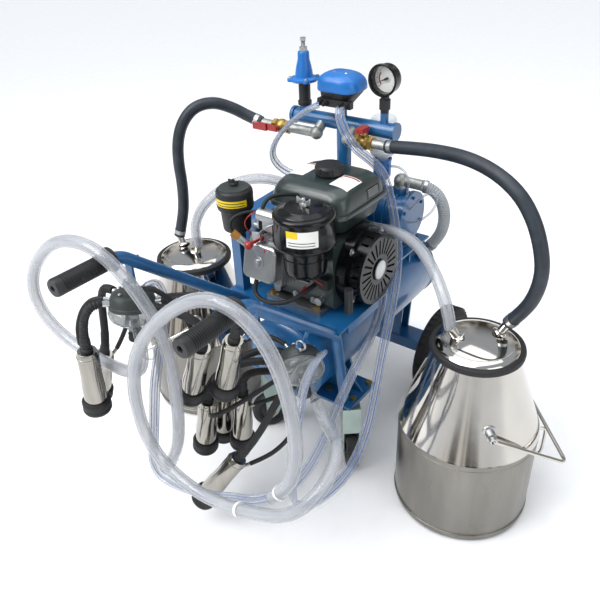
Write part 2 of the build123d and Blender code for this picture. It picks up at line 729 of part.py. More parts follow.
# ---- buckets ------------------------------------------------------------------
def bucket_outline(grow):
    """Outer profile of a bucket, moved in by grow."""
    inset = grow
    return [(0, inset), (BUCKET_RADIUS - 8 - inset, inset), (BUCKET_RADIUS - inset, 8 + inset),
            (BUCKET_RADIUS - inset, BUCKET_SHOULDER), (NECK_RADIUS - inset, NECK_Z)]


def bucket_body(name):
    outer = bucket_outline(0) + [(NECK_RADIUS + 5, NECK_Z + 2), (NECK_RADIUS + 5, NECK_Z + 6),
                                 (0, NECK_Z + 6)]
    inner = bucket_outline(BUCKET_WALL) + [(NECK_RADIUS - BUCKET_WALL, NECK_Z + 7), (0, NECK_Z + 7)]
    body = turned(outer)
    for z in (18, BUCKET_SHOULDER):
        bead = Pos(0, 0, z) * Torus(BUCKET_RADIUS, 2.2)
        body += bead
    for side in (-1, 1):
        body += rod((0, side * 118, BAIL_PIVOT_Z), (0, side * 142, BAIL_PIVOT_Z), 10)
        body += rod((0, side * 122, BAIL_PIVOT_Z), (0, side * 129, BAIL_PIVOT_Z), 14)
    grip = bend_path([(146, 0, 96), (184, 0, 96), (184, 0, 176), (146, 0, 176)], [14, 14])
    body += bar_along(grip, 3.5)
    body -= turned(inner)
    for side in (-1, 1):
        body -= rod((0, side * 124, BAIL_PIVOT_Z), (0, side * 160, BAIL_PIVOT_Z), WIRE_RADIUS + RUNNING)
    x, y = BUCKETS[name]
    return Pos(x, y, 0) * Rot(0, 0, BAIL_TURN[name]) * body


LID_SPIGOTS = {
    "right": [((-34, -21, 436), (-49, -30, 462)), ((28, 36, 436), (40, 51, 462))],
    "left": [((-38, 5, 436), (-54, 8, 462)), ((18, -6, 438), (29, -9, 464))],
}
LID_RADIUS = 88


def lid_form(inset=0):
    """Domed cover; inset moves its surface inwards."""
    rim = LID_RADIUS - inset * 3
    z = NECK_Z + 8 - inset * 2
    rise = [(1, 2), (0.93, 7), (0.8, 13), (0.6, 18.5), (0.35, 22.5), (0.1, 24), (0, 24)]
    return turned([(0, z), (rim, z)] + [(rim * r, z + h) for r, h in rise])


def bucket_lid(name):
    lid = lid_form() - lid_form(BUCKET_WALL)
    for low, high in LID_SPIGOTS[name]:
        lid += rod(low, high, 10)
    for low, high in LID_SPIGOTS[name]:
        rise = Vector(*high) - Vector(*low)
        lid -= rod(Vector(*low) - rise, Vector(*high) + rise, 7.5)
    x, y = BUCKETS[name]
    return Pos(x, y, 0) * lid


def spigot_end(name, index):
    x, y = BUCKETS[name]
    return Vector(x, y, 0) + Vector(*LID_SPIGOTS[name][index][1])


def lid_gasket(name):
    x, y = BUCKETS[name]
    ring = Pos(0, 0, NECK_Z + 7) * Torus(NECK_RADIUS + 4, 8)
    body = turned([(0, NECK_Z - 20), (NECK_RADIUS + 20, NECK_Z - 20), (NECK_RADIUS + 20, NECK_Z - 8),
                   (NECK_RADIUS + 3, NECK_Z - 4), (NECK_RADIUS + 5, NECK_Z + 2),
                   (NECK_RADIUS + 5, NECK_Z + 6), (0, NECK_Z + 6)])
    inner = Pos(0, 0, NECK_Z - 10) * Cylinder(NECK_RADIUS - 1, 30, align=FOOT)
    return Pos(x, y, 0) * (ring - body - lid_form() - inner)


def bail(name):
    """Wire bail in its own frame: pivots along Y, reaching out along +X."""
    reach, drop = BAIL_REACH
    z = BAIL_PIVOT_Z
    route = [(0, -126, z), (0, -BAIL_SIDE, z), (reach, -BAIL_SIDE, z + drop),
             (reach, BAIL_SIDE, z + drop), (0, BAIL_SIDE, z), (0, 126, z)]
    wire = bar_along(bend_path(route, [7, 16, 16, 7]), WIRE_RADIUS)
    x, y = BUCKETS[name]
    return Pos(x, y, 0) * Rot(0, 0, BAIL_TURN[name]) * wire


# ---- milking clusters ---------------------------------------------------------
NOZZLE_REACH = 58
CLAWS = {
    "left": {"at": (-150, -352, 556), "axis": (0.1, -0.2, -1.0), "eye": (-150, -354, 602.7),
             "outlet": (0.5, -0.35, -0.6), "pulse": (-0.35, 0.9, 0.1)},
    "right": {"at": (106, -168, 405), "axis": (0.62, -0.66, -0.42), "eye": (117, -178, 462),
              "outlet": (0.58, -0.09, -0.81), "pulse": (0.75, 0.3, 0.58)},
}
CUPS = {
    "left": [
        {"top": (-201, -440, 481), "axis": (-0.10, 0.0, -1.0), "port": (-0.50, -0.80, 0.30), "side": (-1, 0.3, 0)},
        {"top": (-290, -352, 380), "axis": (-0.38, 0.0, -0.92), "port": (-0.95, 0.05, 0.20), "side": (0, 1, 0)},
        {"top": (-8, -322, 495), "axis": (-0.35, 0.0, -0.94), "port": (0.85, -0.15, 0.35), "side": (-0.3, 0.3, 1)},
        {"top": (40, -282, 508), "axis": (-0.29, 0.0, -0.96), "port": (0.75, 0.60, 0.10), "side": (0, 1, 0)},
    ],
    "right": [
        {"top": (-60, -280, 308), "axis": (-0.20, 0.0, -0.98), "port": (-0.95, -0.15, -0.20),
         "side": (0.6, -0.5, -0.8)},
        {"top": (22, -290, 193), "axis": (-0.475, -0.363, -0.80), "port": (-0.25, -0.60, -0.76),
         "side": (0.5, 0.6, 0)},
        {"top": (-20, -215, 300), "axis": (-0.10, -0.02, -1.0), "port": (-0.75, 0.10, -0.65), "side": (1, 0, 0)},
        {"top": (-72, -222, 285), "axis": (-0.18, 0.06, -1.0), "port": (-0.90, 0.25, -0.10),
         "side": (-0.5, 0.3, 0.8)},
    ],
}


def claw_plane(name):
    """Claw frame: +Z is the axis of the bowl, pointing out of its cover."""
    axis = Vector(*CLAWS[name]["axis"])
    return Plane(origin=CLAWS[name]["at"], z_dir=axis, x_dir=Vector(0, 0, 1).cross(axis))


def claw_point(name, direction, reach=NOZZLE_REACH):
    """A point at a given reach from the middle of a claw."""
    return Vector(*CLAWS[name]["at"]) + Vector(*direction).normalized() * reach


def pulse_direction(cup):
    """The pulse nozzle sits beside the milk nozzle of the same cup."""
    return Vector(*cup["port"]).normalized() + Vector(*cup["side"]).normalized() * 0.6


def outlet_end(name):
    claw = CLAWS[name]
    middle = Vector(*claw["at"]) + Vector(*claw["axis"]).normalized() * 20
    return middle, middle + Vector(*claw["outlet"]).normalized() * 62


def claw_parts(name):
    claw = CLAWS[name]
    plane = claw_plane(name)
    centre = Vector(*claw["at"])
    head = plane * turned([(0, -30), (30, -30), (40, -24), (44, -10), (44, 4), (0, 4)])
    bowl = plane * turned([(0, 4), (46, 4), (48, 8), (46, 22), (34, 34), (14, 38), (14, 52), (6.05, 52),
                           (6.05, 30), (0, 30)])
    middle, end = outlet_end(name)
    outlet = rod(middle, end, 9) - plane * Pos(0, 0, 30) * Cylinder(6.05, 60, align=FOOT)
    for cup in CUPS[name]:
        head += rod(centre, claw_point(name, cup["port"]), 6.5)
        head += rod(centre, claw_point(name, pulse_direction(cup)), 4)
    head += rod(centre, claw_point(name, claw["pulse"]), 6)
    bowl -= head
    eye = Plane(origin=claw["eye"], z_dir=(0, 1, 0)) * Torus(EYE_MAJOR, EYE_MINOR)
    foot = Vector(*claw["eye"]) - Vector(0, 0, EYE_MAJOR)
    head += eye + (rod(foot, centre, 3.5) - bowl)
    return [head, bowl + (outlet - head)]


def claw_plunger(name):
    stem = turned([(0, 31), (6, 31), (6, 54.5), (13, 54.5), (14, 58), (14, 70), (11, 74), (0, 74)])
    return [claw_plane(name) * stem]


def cup_plane(cup):
    """Cup frame: +Z runs from the tail to the mouth, +X to the pulse nipple."""
    axis = Vector(*cup["axis"]).normalized()
    side = Vector(*cup["side"])
    return Plane(origin=cup["top"], z_dir=axis, x_dir=side - axis * side.dot(axis))


def cup_shell(cup):
    outline = [(12, 0), (18, 0), (21, 8), (21, 60), (23, 90), (23, CUP_SHELL), (21.5, CUP_SHELL),
               (21.5, 90), (19.5, 60), (19.5, 9), (17, 2), (12, 2)]
    return cup_plane(cup) * (turned(outline) + rod((20.5, 0, 26), (36, 0, 10), 4))


def cup_liner(cup):
    end = CUP_SHELL + CUP_LIP
    outline = [(11, end), (25, end), (28, end - 4), (29, CUP_SHELL + 4), (25, CUP_SHELL), (14, CUP_SHELL),
               (12, 30), (12, -4), (9, -6), (9, -CUP_TAIL), (0, -CUP_TAIL), (0, -2), (7, 0), (8, 30),
               (11, CUP_SHELL)]
    return cup_plane(cup) * turned(outline)


def arch(start, leave, end, arrive, count):
    """Points of a smooth arch between two nozzles."""
    points = []
    for i in range(count + 1):
        t = i / count
        a, b, c, d = (1 - t) ** 3, 3 * t * (1 - t) ** 2, 3 * t**2 * (1 - t), t**3
        points.append(start * a + (start + leave) * b + (end + arrive) * c + end * d)
    return points


def short_tubes(name):
    """Milk and pulse tubes between a claw and its four cups."""
    tubes = []
    for i, cup in enumerate(CUPS[name]):
        plane = cup_plane(cup)
        port = claw_point(name, cup["port"])
        tail = plane.from_local_coords(Vector(0, 0, -CUP_TAIL))
        span = (tail - port).length * 0.42
        route = arch(port, Vector(*cup["port"]).normalized() * span, tail, plane.z_dir * -span, 6)
        tubes.append(cord(f"short_milk_{name}_{i}", route, 8.5))
        port = claw_point(name, pulse_direction(cup))
        nipple = plane.from_local_coords(Vector(36, 0, 10))
        away = plane.from_local_coords(Vector(37, 0, 9)) - nipple
        span = (nipple - port).length * 0.36
        route = arch(port, pulse_direction(cup).normalized() * span, nipple, away.normalized() * span, 6)
        tubes.append(cord(f"short_pulse_{name}_{i}", route, 5))
    return tubes


# ---- hoses --------------------------------------------------------------------
VACUUM_RIGHT = [(84, 193, 747), (138, 188, 755), (208, 176, 765), (284, 157, 770), (350, 138, 760),
                (402, 124, 735), (437, 113, 698), (460, 105, 654), (473, 101, 606), (469, 102, 556),
                (452, 107, 508)]
VACUUM_LEFT = [(-263, 193, 747), (-294, 186, 757), (-326, 162, 781), (-356, 128, 799), (-386, 92, 791),
               (-407, 68, 756), (-418, 56, 711), (-421, 52, 660), (-418, 52, 605), (-421, 50, 550),
               (-428, 44, 505)]
MILK_TRANSFER = [(326, 30, 503), (300, 48, 538), (257, 84, 563), (203, 124, 577),
                 (137, 160, 572), (68, 180, 556), (2, 188, 548), (-56, 184, 564), (-108, 174, 596),
                 (-158, 154, 624), (-212, 126, 638), (-264, 94, 630), (-306, 60, 604), (-336, 32, 568),
                 (-352, 18, 526), (-355, 16, 494)]
MILK_RIGHT = [(190, -204, 322), (222, -234, 338), (256, -266, 362), (290, -308, 384), (306, -354, 376),
              (296, -398, 344), (258, -422, 304), (190, -428, 272), (110, -428, 240),
              (32, -428, 230), (-42, -428, 250), (-86, -428, 300), (-98, -428, 372), (-90, -428, 450),
              (-62, -427, 528), (-12, -424, 598), (48, -419, 656), (104, -414, 692), (156, -411, 702),
              (210, -408, 680), (246, -405, 626), (264, -402, 556), (271, -400, 486), (268, -399, 416),
              (246, -398, 346), (206, -396, 292)]
MILK_LEFT = [(-104, -400, 446), (-144, -399, 426), (-208, -396, 416), (-278, -396, 416),
             (-342, -401, 434), (-388, -407, 474), (-402, -409, 530), (-378, -407, 588),
             (-330, -406, 640), (-270, -407, 682), (-206, -407, 703), (-150, -407, 703), (-102, -402, 676),
             (-64, -394, 626), (-38, -385, 564), (-30, -381, 496), (-34, -378, 424), (-44, -375, 350),
             (-58, -373, 278), (-86, -371, 206), (-130, -369, 140)]
TWIN_LEFT = [(-74, 170, 820), (-90, 158, 814), (-126, 154, 790), (-166, 156, 755), (-202, 160, 712),
             (-220, 172, 672), (-204, 190, 638), (-166, 206, 624), (-128, 210, 610), (-88, 204, 572),
             (-44, 188, 530), (14, 178, 500), (72, 174, 472), (112, 152, 434), (129, 114, 398),
             (142, 56, 362), (153, -10, 342), (164, -74, 328), (174, -138, 300), (186, -204, 266),
             (194, -272, 246), (196, -334, 254), (184, -378, 262), (150, -399, 250), (112, -400, 234),
             (50, -402, 198),
             (-14, -402, 178), (-70, -400, 158), (-112, -402, 162), (-122, -402, 204), (-108, -398, 266),
             (-98, -392, 334), (-98, -376, 402), (-112, -340, 456), (-136, -296, 496), (-160, -268, 532),
             (-176, -270, 560)]
TWIN_RIGHT = [(-20, 170, 820), (-14, 156, 808), (6, 150, 778), (28, 156, 744), (48, 182, 716),
              (66, 208, 684), (80, 218, 636), (98, 214, 578), (124, 192, 520), (148, 146, 466), (168, 88, 412),
              (186, 26, 354), (202, -28, 288), (216, -80, 222), (225, -142, 184), (229, -204, 176),
              (227, -268, 186), (223, -328, 212), (226, -364, 262), (232, -368, 324), (232, -358, 388),
              (224, -332, 444), (206, -290, 478), (190, -240, 486), (172, -192, 466)]
SUCTION = [(96, PUMP_Y + 8, 604), (122, PUMP_Y + 13, 598), (142, PUMP_Y + 22, 572), (150, PUMP_Y + 32, 532),
           (144, PUMP_Y + 41, 488), (128, PUMP_Y + 47, 452), NIPPLE_END]
OIL_TUBE = [(10, 340, 640), (38, 330, 650), (64, 322, 644), (78, 318, 622), (76, 318, 600), (72, 322, 580)]
OIL_LOOP = [(79, 318, 516), (102, 312, 524), (132, 308, 546), (155, 308, 578), (156, 312, 604),
            (136, 316, 608), (112, 320, 590), (94, 324, 566), (79, 328, 546)]
PLUG_LEAD = [(-116, -97, 612), (-124, -98, 630), (-116, -82, 646), (-98, -52, 648), (-78, -28, 636),
             (-62, -14, 620), (-58, -10, 600)]
FUEL_HOSE = [(-24, 16, 676), (-33, -12, 686), (-46, -40, 690), (-53, -60, 683), (-54, -66, 669.8)]
BREATHER = [(-58, -94, 518), (-60, -108, 498), (-40, -116, 482), (-4, -112, 480), (26, -94, 486),
            (40, -60, 496), (44, -28, 500)]


def strap(middle, along, circles):
    """A cable tie round one or two hoses; circles are (centre, radius)."""
    plane = Plane(origin=middle, z_dir=along)
    centres = [plane.to_local_coords(Vector(*centre)) for centre, _ in circles]
    rings = []
    for extra in (2.4, 0.6):
        outlines = [Pos(c.X, c.Y) * Circle(radius + extra) for c, (_, radius) in zip(centres, circles)]
        hull = make_hull([o.edge() for o in outlines]) if len(outlines) > 1 else outlines[0]
        rings.append(Pos(0, 0, -3) * extrude(hull, amount=6))
    lock = Pos(centres[0].X, centres[0].Y, 0) * Rot(0, 0, 200) * Pos(circles[0][1] + 5, 0, 0) * Box(7, 9, 8)
    return plane * ((rings[0] + lock) - rings[1])


def middle_of(route, index):
    a = Vector(*route[index])
    b = Vector(*route[index + 1])
    return (a + b) * 0.5, b - a


def clamps_and_ties():
    milk = HOSE_RADIUS["milk"]
    loop, along = middle_of(MILK_RIGHT, 7)
    twin, _ = middle_of(TWIN_LEFT, 23)
    end_right, down = middle_of(MILK_RIGHT, len(MILK_RIGHT) - 2)
    end_left, drop = middle_of(MILK_LEFT, len(MILK_LEFT) - 2)
    return [strap(twin, along, [(loop, milk), (twin, HOSE_RADIUS["twin"])]),
            strap(end_right, down, [(end_right, milk)]),
            strap(end_left, drop, [(end_left, milk)])]


def frame_bolts():
    z = CASTER_PLATE_Z
    bolts = []
    for x, y in caster_bolt_places():
        bolt = rod((x, y, z - 8), (x, y, z + 12), 4)
        bolt += Pos(x, y, z + 6) * extrude(RegularPolygon(7.5, 6), amount=6)
        bolt += Pos(x, y, z - 8) * extrude(RegularPolygon(7.5, 6), amount=4)
        bolts.append(bolt)
    low = DECK_TOP - DECK_THICK
    for sx in (-1, 1):
        for y in ENGINE_BOLT_Y:
            x = sx * 60 - 5
            bolt = rod((x, y, low - 3), (x, y, DECK_TOP + 20), 4.5)
            bolt += Pos(x, y, DECK_TOP + 12) * extrude(RegularPolygon(8, 6), amount=7)
            bolts.append(bolt)
    return bolts


# ---- write every node ---------------------------------------------------------
save("front_base", *front_base())
save("rear_beam", *rear_beam())
for side, name in ((-1, "left"), (1, "right")):
    hub = along_x(wheel_rim(), side * WHEEL_X, WHEEL_Y, WHEEL_RADIUS)
    tyre = along_x(wheel_tyre(), side * WHEEL_X, WHEEL_Y, WHEEL_RADIUS)
    save(f"wheel_rim_{name}", hub)
    save(f"wheel_tyre_{name}", tyre)
    heading = caster_heading(side)
    save(f"caster_fork_{name}", Pos(side * CASTER_X, CASTER_Y, 0) * Rot(0, 0, heading) * caster_fork())
    roller = Pos(*caster_axle_point(side)) * Rot(0, 0, heading) * Rot(90, 0, 0) * caster_wheel()
    save(f"caster_wheel_{name}", roller)
save("vacuum_tank", vacuum_tank())
save("engine_platform", *engine_platform())
save("handle_frame", *handle_frame())
save("handle_grips", *handle_grips())
save("frame_bolts", *frame_bolts())
save("crankcase", *crankcase())
save("recoil_cover", *recoil_cover())
save("recoil_handle", *recoil_handle())
save("fuel_tank", *fuel_tank())
save("fuel_cap", *fuel_cap())
save("air_cleaner", *air_cleaner())
save("engine_fittings", *engine_fittings(), *valve_cover())
save("choke_lever", *choke_lever())
save("throttle_lever", *throttle_lever())
save("engine_pulley", *pulley(ENGINE_PULLEY, -42, CRANK_Y, CRANK_Z))
save("pump_pulley", *pulley(PUMP_PULLEY, -52, PUMP_Y, PUMP_Z))
save("drive_belt", *drive_belt())
save("belt_guard", *belt_guard())
save("vacuum_pump", *vacuum_pump())
save("oil_reservoir", *oil_reservoir())
save("exhaust_canister", *exhaust_canister())
save("manifold", *manifold())
save("regulator_body", *regulator_body())
save("regulator_screw", *regulator_screw())
save("gauge_case", *gauge_case())
save("gauge_needle", *gauge_needle())
save("pulsator", *pulsator())
save("pipe_fittings", *pipe_fittings())
save("valve_lever_left", *valve_lever_left())
save("valve_lever_right", *valve_lever_right())
save("bucket_bodies", *[bucket_body(name) for name in BUCKETS])
save("bucket_lids", *[bucket_lid(name) for name in BUCKETS])
save("lid_gaskets", *[lid_gasket(name) for name in BUCKETS])
for name in BUCKETS:
    save(f"bail_{name}", bail(name))
save("claws", *[piece for name in CLAWS for piece in claw_parts(name)])
for name in CLAWS:
    save(f"claw_plunger_{name}", *claw_plunger(name))
save("cup_shells", *[cup_shell(cup) for name in CUPS for cup in CUPS[name]])
save("cup_liners", *[cup_liner(cup) for name in CUPS for cup in CUPS[name]])
save("cluster_tubes", *[tube for name in CUPS for tube in short_tubes(name)])
save("clamps_and_ties", *clamps_and_ties())
for name, route, spigot in (("left", VACUUM_LEFT, 0), ("right", VACUUM_RIGHT, 1)):
    end = spigot_end(name, spigot)
    save(f"vacuum_hose_{name}", cord(f"vacuum_hose_{name}", route + [end], HOSE_RADIUS["vacuum"]))
transfer = [spigot_end("right", 0)] + MILK_TRANSFER + [spigot_end("left", 1)]
save("transfer_hose", cord("transfer_hose", transfer, HOSE_RADIUS["milk"]))
for name, route in (("left", MILK_LEFT), ("right", MILK_RIGHT)):
    start = outlet_end(name)[1]
    leave = start + Vector(*CLAWS[name]["outlet"]).normalized() * 26
    save(f"milk_hose_{name}", cord(f"milk_hose_{name}", [start, leave] + route, HOSE_RADIUS["milk"]))
for name, route in (("left", TWIN_LEFT), ("right", TWIN_RIGHT)):
    end = claw_point(name, CLAWS[name]["pulse"])
    save(f"pulse_tube_{name}", cord(f"pulse_tube_{name}", route + [end], HOSE_RADIUS["twin"]))
save("small_hoses", cord("suction_hose", SUCTION, HOSE_RADIUS["suction"]), cord("oil_tube", OIL_TUBE, 3),
     cord("oil_loop", OIL_LOOP, 3), cord("plug_lead", PLUG_LEAD, 3.5), cord("fuel_hose", FUEL_HOSE, 4),
     cord("breather", BREATHER, 5))
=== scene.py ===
"""Looks of the two-bucket milking machine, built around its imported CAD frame."""
import math

import bpy
import bmesh
from mathutils import Matrix, Vector
from mathutils.bvhtree import BVHTree


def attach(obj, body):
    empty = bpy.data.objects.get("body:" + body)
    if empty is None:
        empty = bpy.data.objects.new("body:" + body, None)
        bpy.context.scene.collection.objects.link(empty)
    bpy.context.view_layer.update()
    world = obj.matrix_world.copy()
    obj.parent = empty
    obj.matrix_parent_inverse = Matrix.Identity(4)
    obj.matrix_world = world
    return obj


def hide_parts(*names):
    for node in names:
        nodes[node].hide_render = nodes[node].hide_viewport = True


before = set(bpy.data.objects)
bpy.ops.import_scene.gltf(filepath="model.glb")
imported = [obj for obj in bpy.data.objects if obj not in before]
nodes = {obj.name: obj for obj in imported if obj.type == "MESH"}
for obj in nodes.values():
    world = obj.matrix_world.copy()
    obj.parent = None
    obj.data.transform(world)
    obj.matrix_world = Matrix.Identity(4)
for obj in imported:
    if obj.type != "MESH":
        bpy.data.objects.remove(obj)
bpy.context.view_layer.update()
MM = 0.001


# ---- materials ----------------------------------------------------------------
def rgb(text):
    """A linear colour from an sRGB hex string."""
    values = [int(text[i:i + 2], 16) / 255 for i in (0, 2, 4)]
    return tuple(((v + 0.055) / 1.055) ** 2.4 if v > 0.04045 else v / 12.92 for v in values) + (1.0,)


def material(name, colour, tint, rough, metal=0.0, scale=18.0, grain=420.0, bump=0.05, edge=None,
             coat=0.0, stretch=None, clear=None, rough_span=0.12):
    """Paint, metal, rubber or plastic with drifting colour, worn edges and a fine surface."""
    made = bpy.data.materials.new(name)
    made.use_nodes = True
    tree = made.node_tree
    shader = tree.nodes["Principled BSDF"]
    where = tree.nodes.new("ShaderNodeTexCoord").outputs["Object"]

    link = tree.links.new

    def put(kind, **values):
        """A shader node with its inputs set by name; underscores stand for spaces."""
        node = tree.nodes.new("ShaderNode" + kind)
        for key, value in values.items():
            node.inputs[key.replace("_", " ")].default_value = value
        return node

    def noise(size, detail, squeeze=None):
        node = put("TexNoise", Scale=size, Detail=detail)
        source = where
        if squeeze:
            mapping = put("Mapping", Scale=squeeze)
            link(where, mapping.inputs["Vector"])
            source = mapping.outputs["Vector"]
        link(source, node.inputs["Vector"])
        return node.outputs["Fac"]

    ramp = put("ValToRGB")
    for element, position, shade in zip(ramp.color_ramp.elements, (0.32, 0.72), (colour, tint)):
        element.position = position
        element.color = rgb(shade)
    link(noise(scale, 6.0, stretch), ramp.inputs["Fac"])
    base = ramp.outputs["Color"]
    if edge:
        bevel = put("Bevel", Radius=0.0011)
        bevel.samples = 3
        shape = put("NewGeometry")
        dot = put("VectorMath")
        dot.operation = "DOT_PRODUCT"
        link(bevel.outputs["Normal"], dot.inputs[0])
        link(shape.outputs["Normal"], dot.inputs[1])
        worn = put("MapRange", From_Min=0.995, From_Max=0.84)
        link(dot.outputs["Value"], worn.inputs["Value"])
        patchy = put("MapRange", From_Min=0.48, From_Max=0.62)
        link(noise(60.0, 8.0), patchy.inputs["Value"])
        times = put("Math")
        times.operation = "MULTIPLY"
        link(worn.outputs["Result"], times.inputs[0])
        link(patchy.outputs["Result"], times.inputs[1])
        mix = tree.nodes.new("ShaderNodeMix")
        mix.data_type = "RGBA"
        link(times.outputs["Value"], mix.inputs["Factor"])
        link(base, mix.inputs["A"])
        mix.inputs["B"].default_value = rgb(edge)
        base = mix.outputs["Result"]
    link(base, shader.inputs["Base Color"])
    span = put("MapRange", To_Min=max(0.02, rough - rough_span / 2), To_Max=rough + rough_span)
    link(noise(scale * 3, 8.0, stretch), span.inputs["Value"])
    link(span.outputs["Result"], shader.inputs["Roughness"])
    relief = put("Bump", Strength=bump, Distance=0.0006)
    link(noise(grain, 5.0, stretch), relief.inputs["Height"])
    link(relief.outputs["Normal"], shader.inputs["Normal"])
    for key, value in (("Metallic", metal), ("Coat Weight", coat), ("Coat Roughness", 0.08)):
        shader.inputs[key].default_value = value
    if clear:
        facing = put("LayerWeight", Blend=0.45)
        alpha = put("MapRange", To_Min=clear[0], To_Max=clear[1])
        link(facing.outputs["Facing"], alpha.inputs["Value"])
        link(alpha.outputs["Result"], shader.inputs["Alpha"])
    return made


BLUE = material("enamel_blue", "1a5f93", "144f80", 0.3, edge="2c3844", coat=0.4, bump=0.09)
BRIGHT = material("plastic_blue", "0f6cba", "0b60aa", 0.34, coat=0.2, bump=0.04)
ENGINE = material("engine_satin", "2a3634", "212b2a", 0.3, edge="4e5a58", coat=0.35, bump=0.06)
GLOSS = material("gloss_black", "08090a", "0c0d0f", 0.16, bump=0.03)
GLOSS.node_tree.nodes["Principled BSDF"].inputs["Specular IOR Level"].default_value = 0.32
BLACK = material("moulded_black", "17181a", "1f2022", 0.48, bump=0.12)
RUBBER = material("black_rubber", "141415", "1d1d1f", 0.6, bump=0.2, grain=650)
TYRE = material("tyre_rubber", "1b1b1b", "262524", 0.78, bump=0.3, grain=350)
SLATE = material("slate_rubber", "1c232b", "2a323b", 0.46, bump=0.2, grain=500, scale=40)
CAST = material("cast_alloy", "9a9c9c", "7f8283", 0.42, metal=0.85, bump=0.35, grain=520, edge="d0d2d3")
DARK_CAST = material("dark_cast", "4b5050", "3c4141", 0.5, metal=0.55, bump=0.4, grain=420, edge="8b9090")
ZINC = material("zinc_plate", "c4c6c6", "a7aaad", 0.28, metal=0.95, bump=0.08, grain=600)
BRASS = material("brass", "b99a58", "93783f", 0.38, metal=0.9, bump=0.2)
GALV = material("galvanised", "b3b4b0", "8f918e", 0.46, metal=0.85, bump=0.25, grain=300, scale=70)
MIRROR = material("mirror_steel", "cfcbc4", "c2beb7", 0.07, metal=1.0, bump=0.015, scale=9, rough_span=0.05)
SATIN = material("satin_steel", "8d8a84", "7b7872", 0.27, metal=1.0, bump=0.05, grain=300,
                 stretch=(1.0, 1.0, 0.2), rough_span=0.1)
MINT = material("mint_zinc", "b5c4bd", "9db0a8", 0.38, metal=0.7, bump=0.1, edge="dfe5e2")
CREAM = material("rim_cream", "c9b98a", "b5a373", 0.42, bump=0.08, edge="7a6a48")
WHITE = material("label_white", "f1f1ec", "e6e6e0", 0.4, bump=0.02)
YELLOW = material("label_yellow", "f0d21c", "e4c414", 0.4, bump=0.02)
RED = material("red_plastic", "a81c1a", "8e1513", 0.36, coat=0.3, bump=0.04)
AMBER = material("boot_amber", "a8752a", "8d5f1f", 0.5, bump=0.12)
GREY = material("hose_grey", "a9adb0", "969b9f", 0.45, bump=0.08)
TIE = material("tie_white", "f4f5f6", "e9eaec", 0.35, bump=0.05)
BOTTLE = material("bottle_white", "e6ebee", "dde3e8", 0.35, bump=0.05, clear=(0.72, 0.95))
PVC = material("clear_pvc", "b4b7bb", "a2a6ad", 0.08, coat=0.8, bump=0.04, scale=22, clear=(0.16, 0.9))
BORE = material("clear_bore", "d6d8dc", "a9aeb8", 0.12, coat=0.6, bump=0.08, scale=9, clear=(0.34, 0.92))
PVC_THIN = material("clear_thin", "b2b8c2", "a0a8b6", 0.1, coat=0.7, bump=0.04, clear=(0.26, 0.9))
STRIPE = material("tube_stripe", "3a6fc4", "2f62b4", 0.25, coat=0.3, bump=0.02, clear=(0.6, 0.95))
SMOKE = material("bowl_smoke", "8b9091", "74797b", 0.1, coat=0.7, bump=0.03, clear=(0.42, 0.96))
CUP_STEEL = material("cup_steel", "a9a59d", "918e87", 0.13, metal=1.0, bump=0.03, grain=300,
                     stretch=(3.0, 3.0, 0.3), rough_span=0.06)
GLASS = material("lens_glass", "dfe6ea", "d4dde2", 0.04, bump=0.0, clear=(0.0, 0.1))


# ---- positions in millimetres, as in the CAD -----------------------------------
CRANK = (66, 525)
FUEL = (-7, 102)
WHEEL_X, WHEEL_Y, WHEEL_RADIUS = 178, 370, 130
AIR_CLEANER = (58, -75, 0)
OIL_JAR = (-12, 345, 0)
CANISTER = (-152, -42, 0)
REGULATOR = (-154, 225, 0)
GAUGE = (58, 225, 878)
PULSATOR = (-47, 222, 812)
TANK_AXIS_Z, TANK_FRONT, TANK_BACK = 320, -87, 455


# ---- mesh helpers -------------------------------------------------------------
def move(x, y, z):
    """A shift in millimetres."""
    return Matrix.Translation((x, y, z))


def spin(degrees, axis="Z"):
    """A turn about one axis of the frame."""
    return Matrix.Rotation(math.radians(degrees), 4, axis)


def circle(radius, count):
    """Points on a circle in the XY plane."""
    return [(radius * math.cos(math.tau * k / count), radius * math.sin(math.tau * k / count))
            for k in range(count)]


def place_at(origin, axis=(0, 0, 1), side=None):
    """A frame in millimetres: +Z along axis, +X near side."""
    z = Vector(axis).normalized()
    x = Vector(side) if side else (Vector((0, 0, 1)).cross(z) if abs(z.z) < 0.99 else Vector((1, 0, 0)))
    x = (x - z * x.dot(z)).normalized()
    y = z.cross(x)
    turn = Matrix((x, y, z)).transposed().to_4x4()
    return Matrix.Translation(Vector(origin)) @ turn


def rounded(width, depth, radius, steps=6):
    """Points of a rounded rectangle about the origin."""
    points = []
    for cx, cy, start in ((1, 1, 0), (-1, 1, 90), (-1, -1, 180), (1, -1, 270)):
        for i in range(steps + 1):
            a = math.radians(start + 90 * i / steps)
            points.append((cx * (width / 2 - radius) + radius * math.cos(a),
                           cy * (depth / 2 - radius) + radius * math.sin(a)))
    return points


def spline_points(route, resolution=10):
    """Points read from the smooth spline that has the route as its control points."""
    data = bpy.data.curves.new("line", "CURVE")
    fill_spline(data, route, resolution)
    thing = bpy.data.objects.new("line", data)
    mesh = bpy.data.meshes.new_from_object(thing)
    points = [v.co.copy() for v in mesh.vertices]
    bpy.data.objects.remove(thing)
    bpy.data.meshes.remove(mesh)
    return points


def fill_spline(data, route, resolution):
    data.dimensions = "3D"
    spline = data.splines.new("NURBS")
    spline.points.add(len(route) - 1)
    for point, place in zip(spline.points, route):
        point.co = (*place, 1.0)
    spline.order_u = 3
    spline.use_endpoint_u = True
    spline.resolution_u = resolution


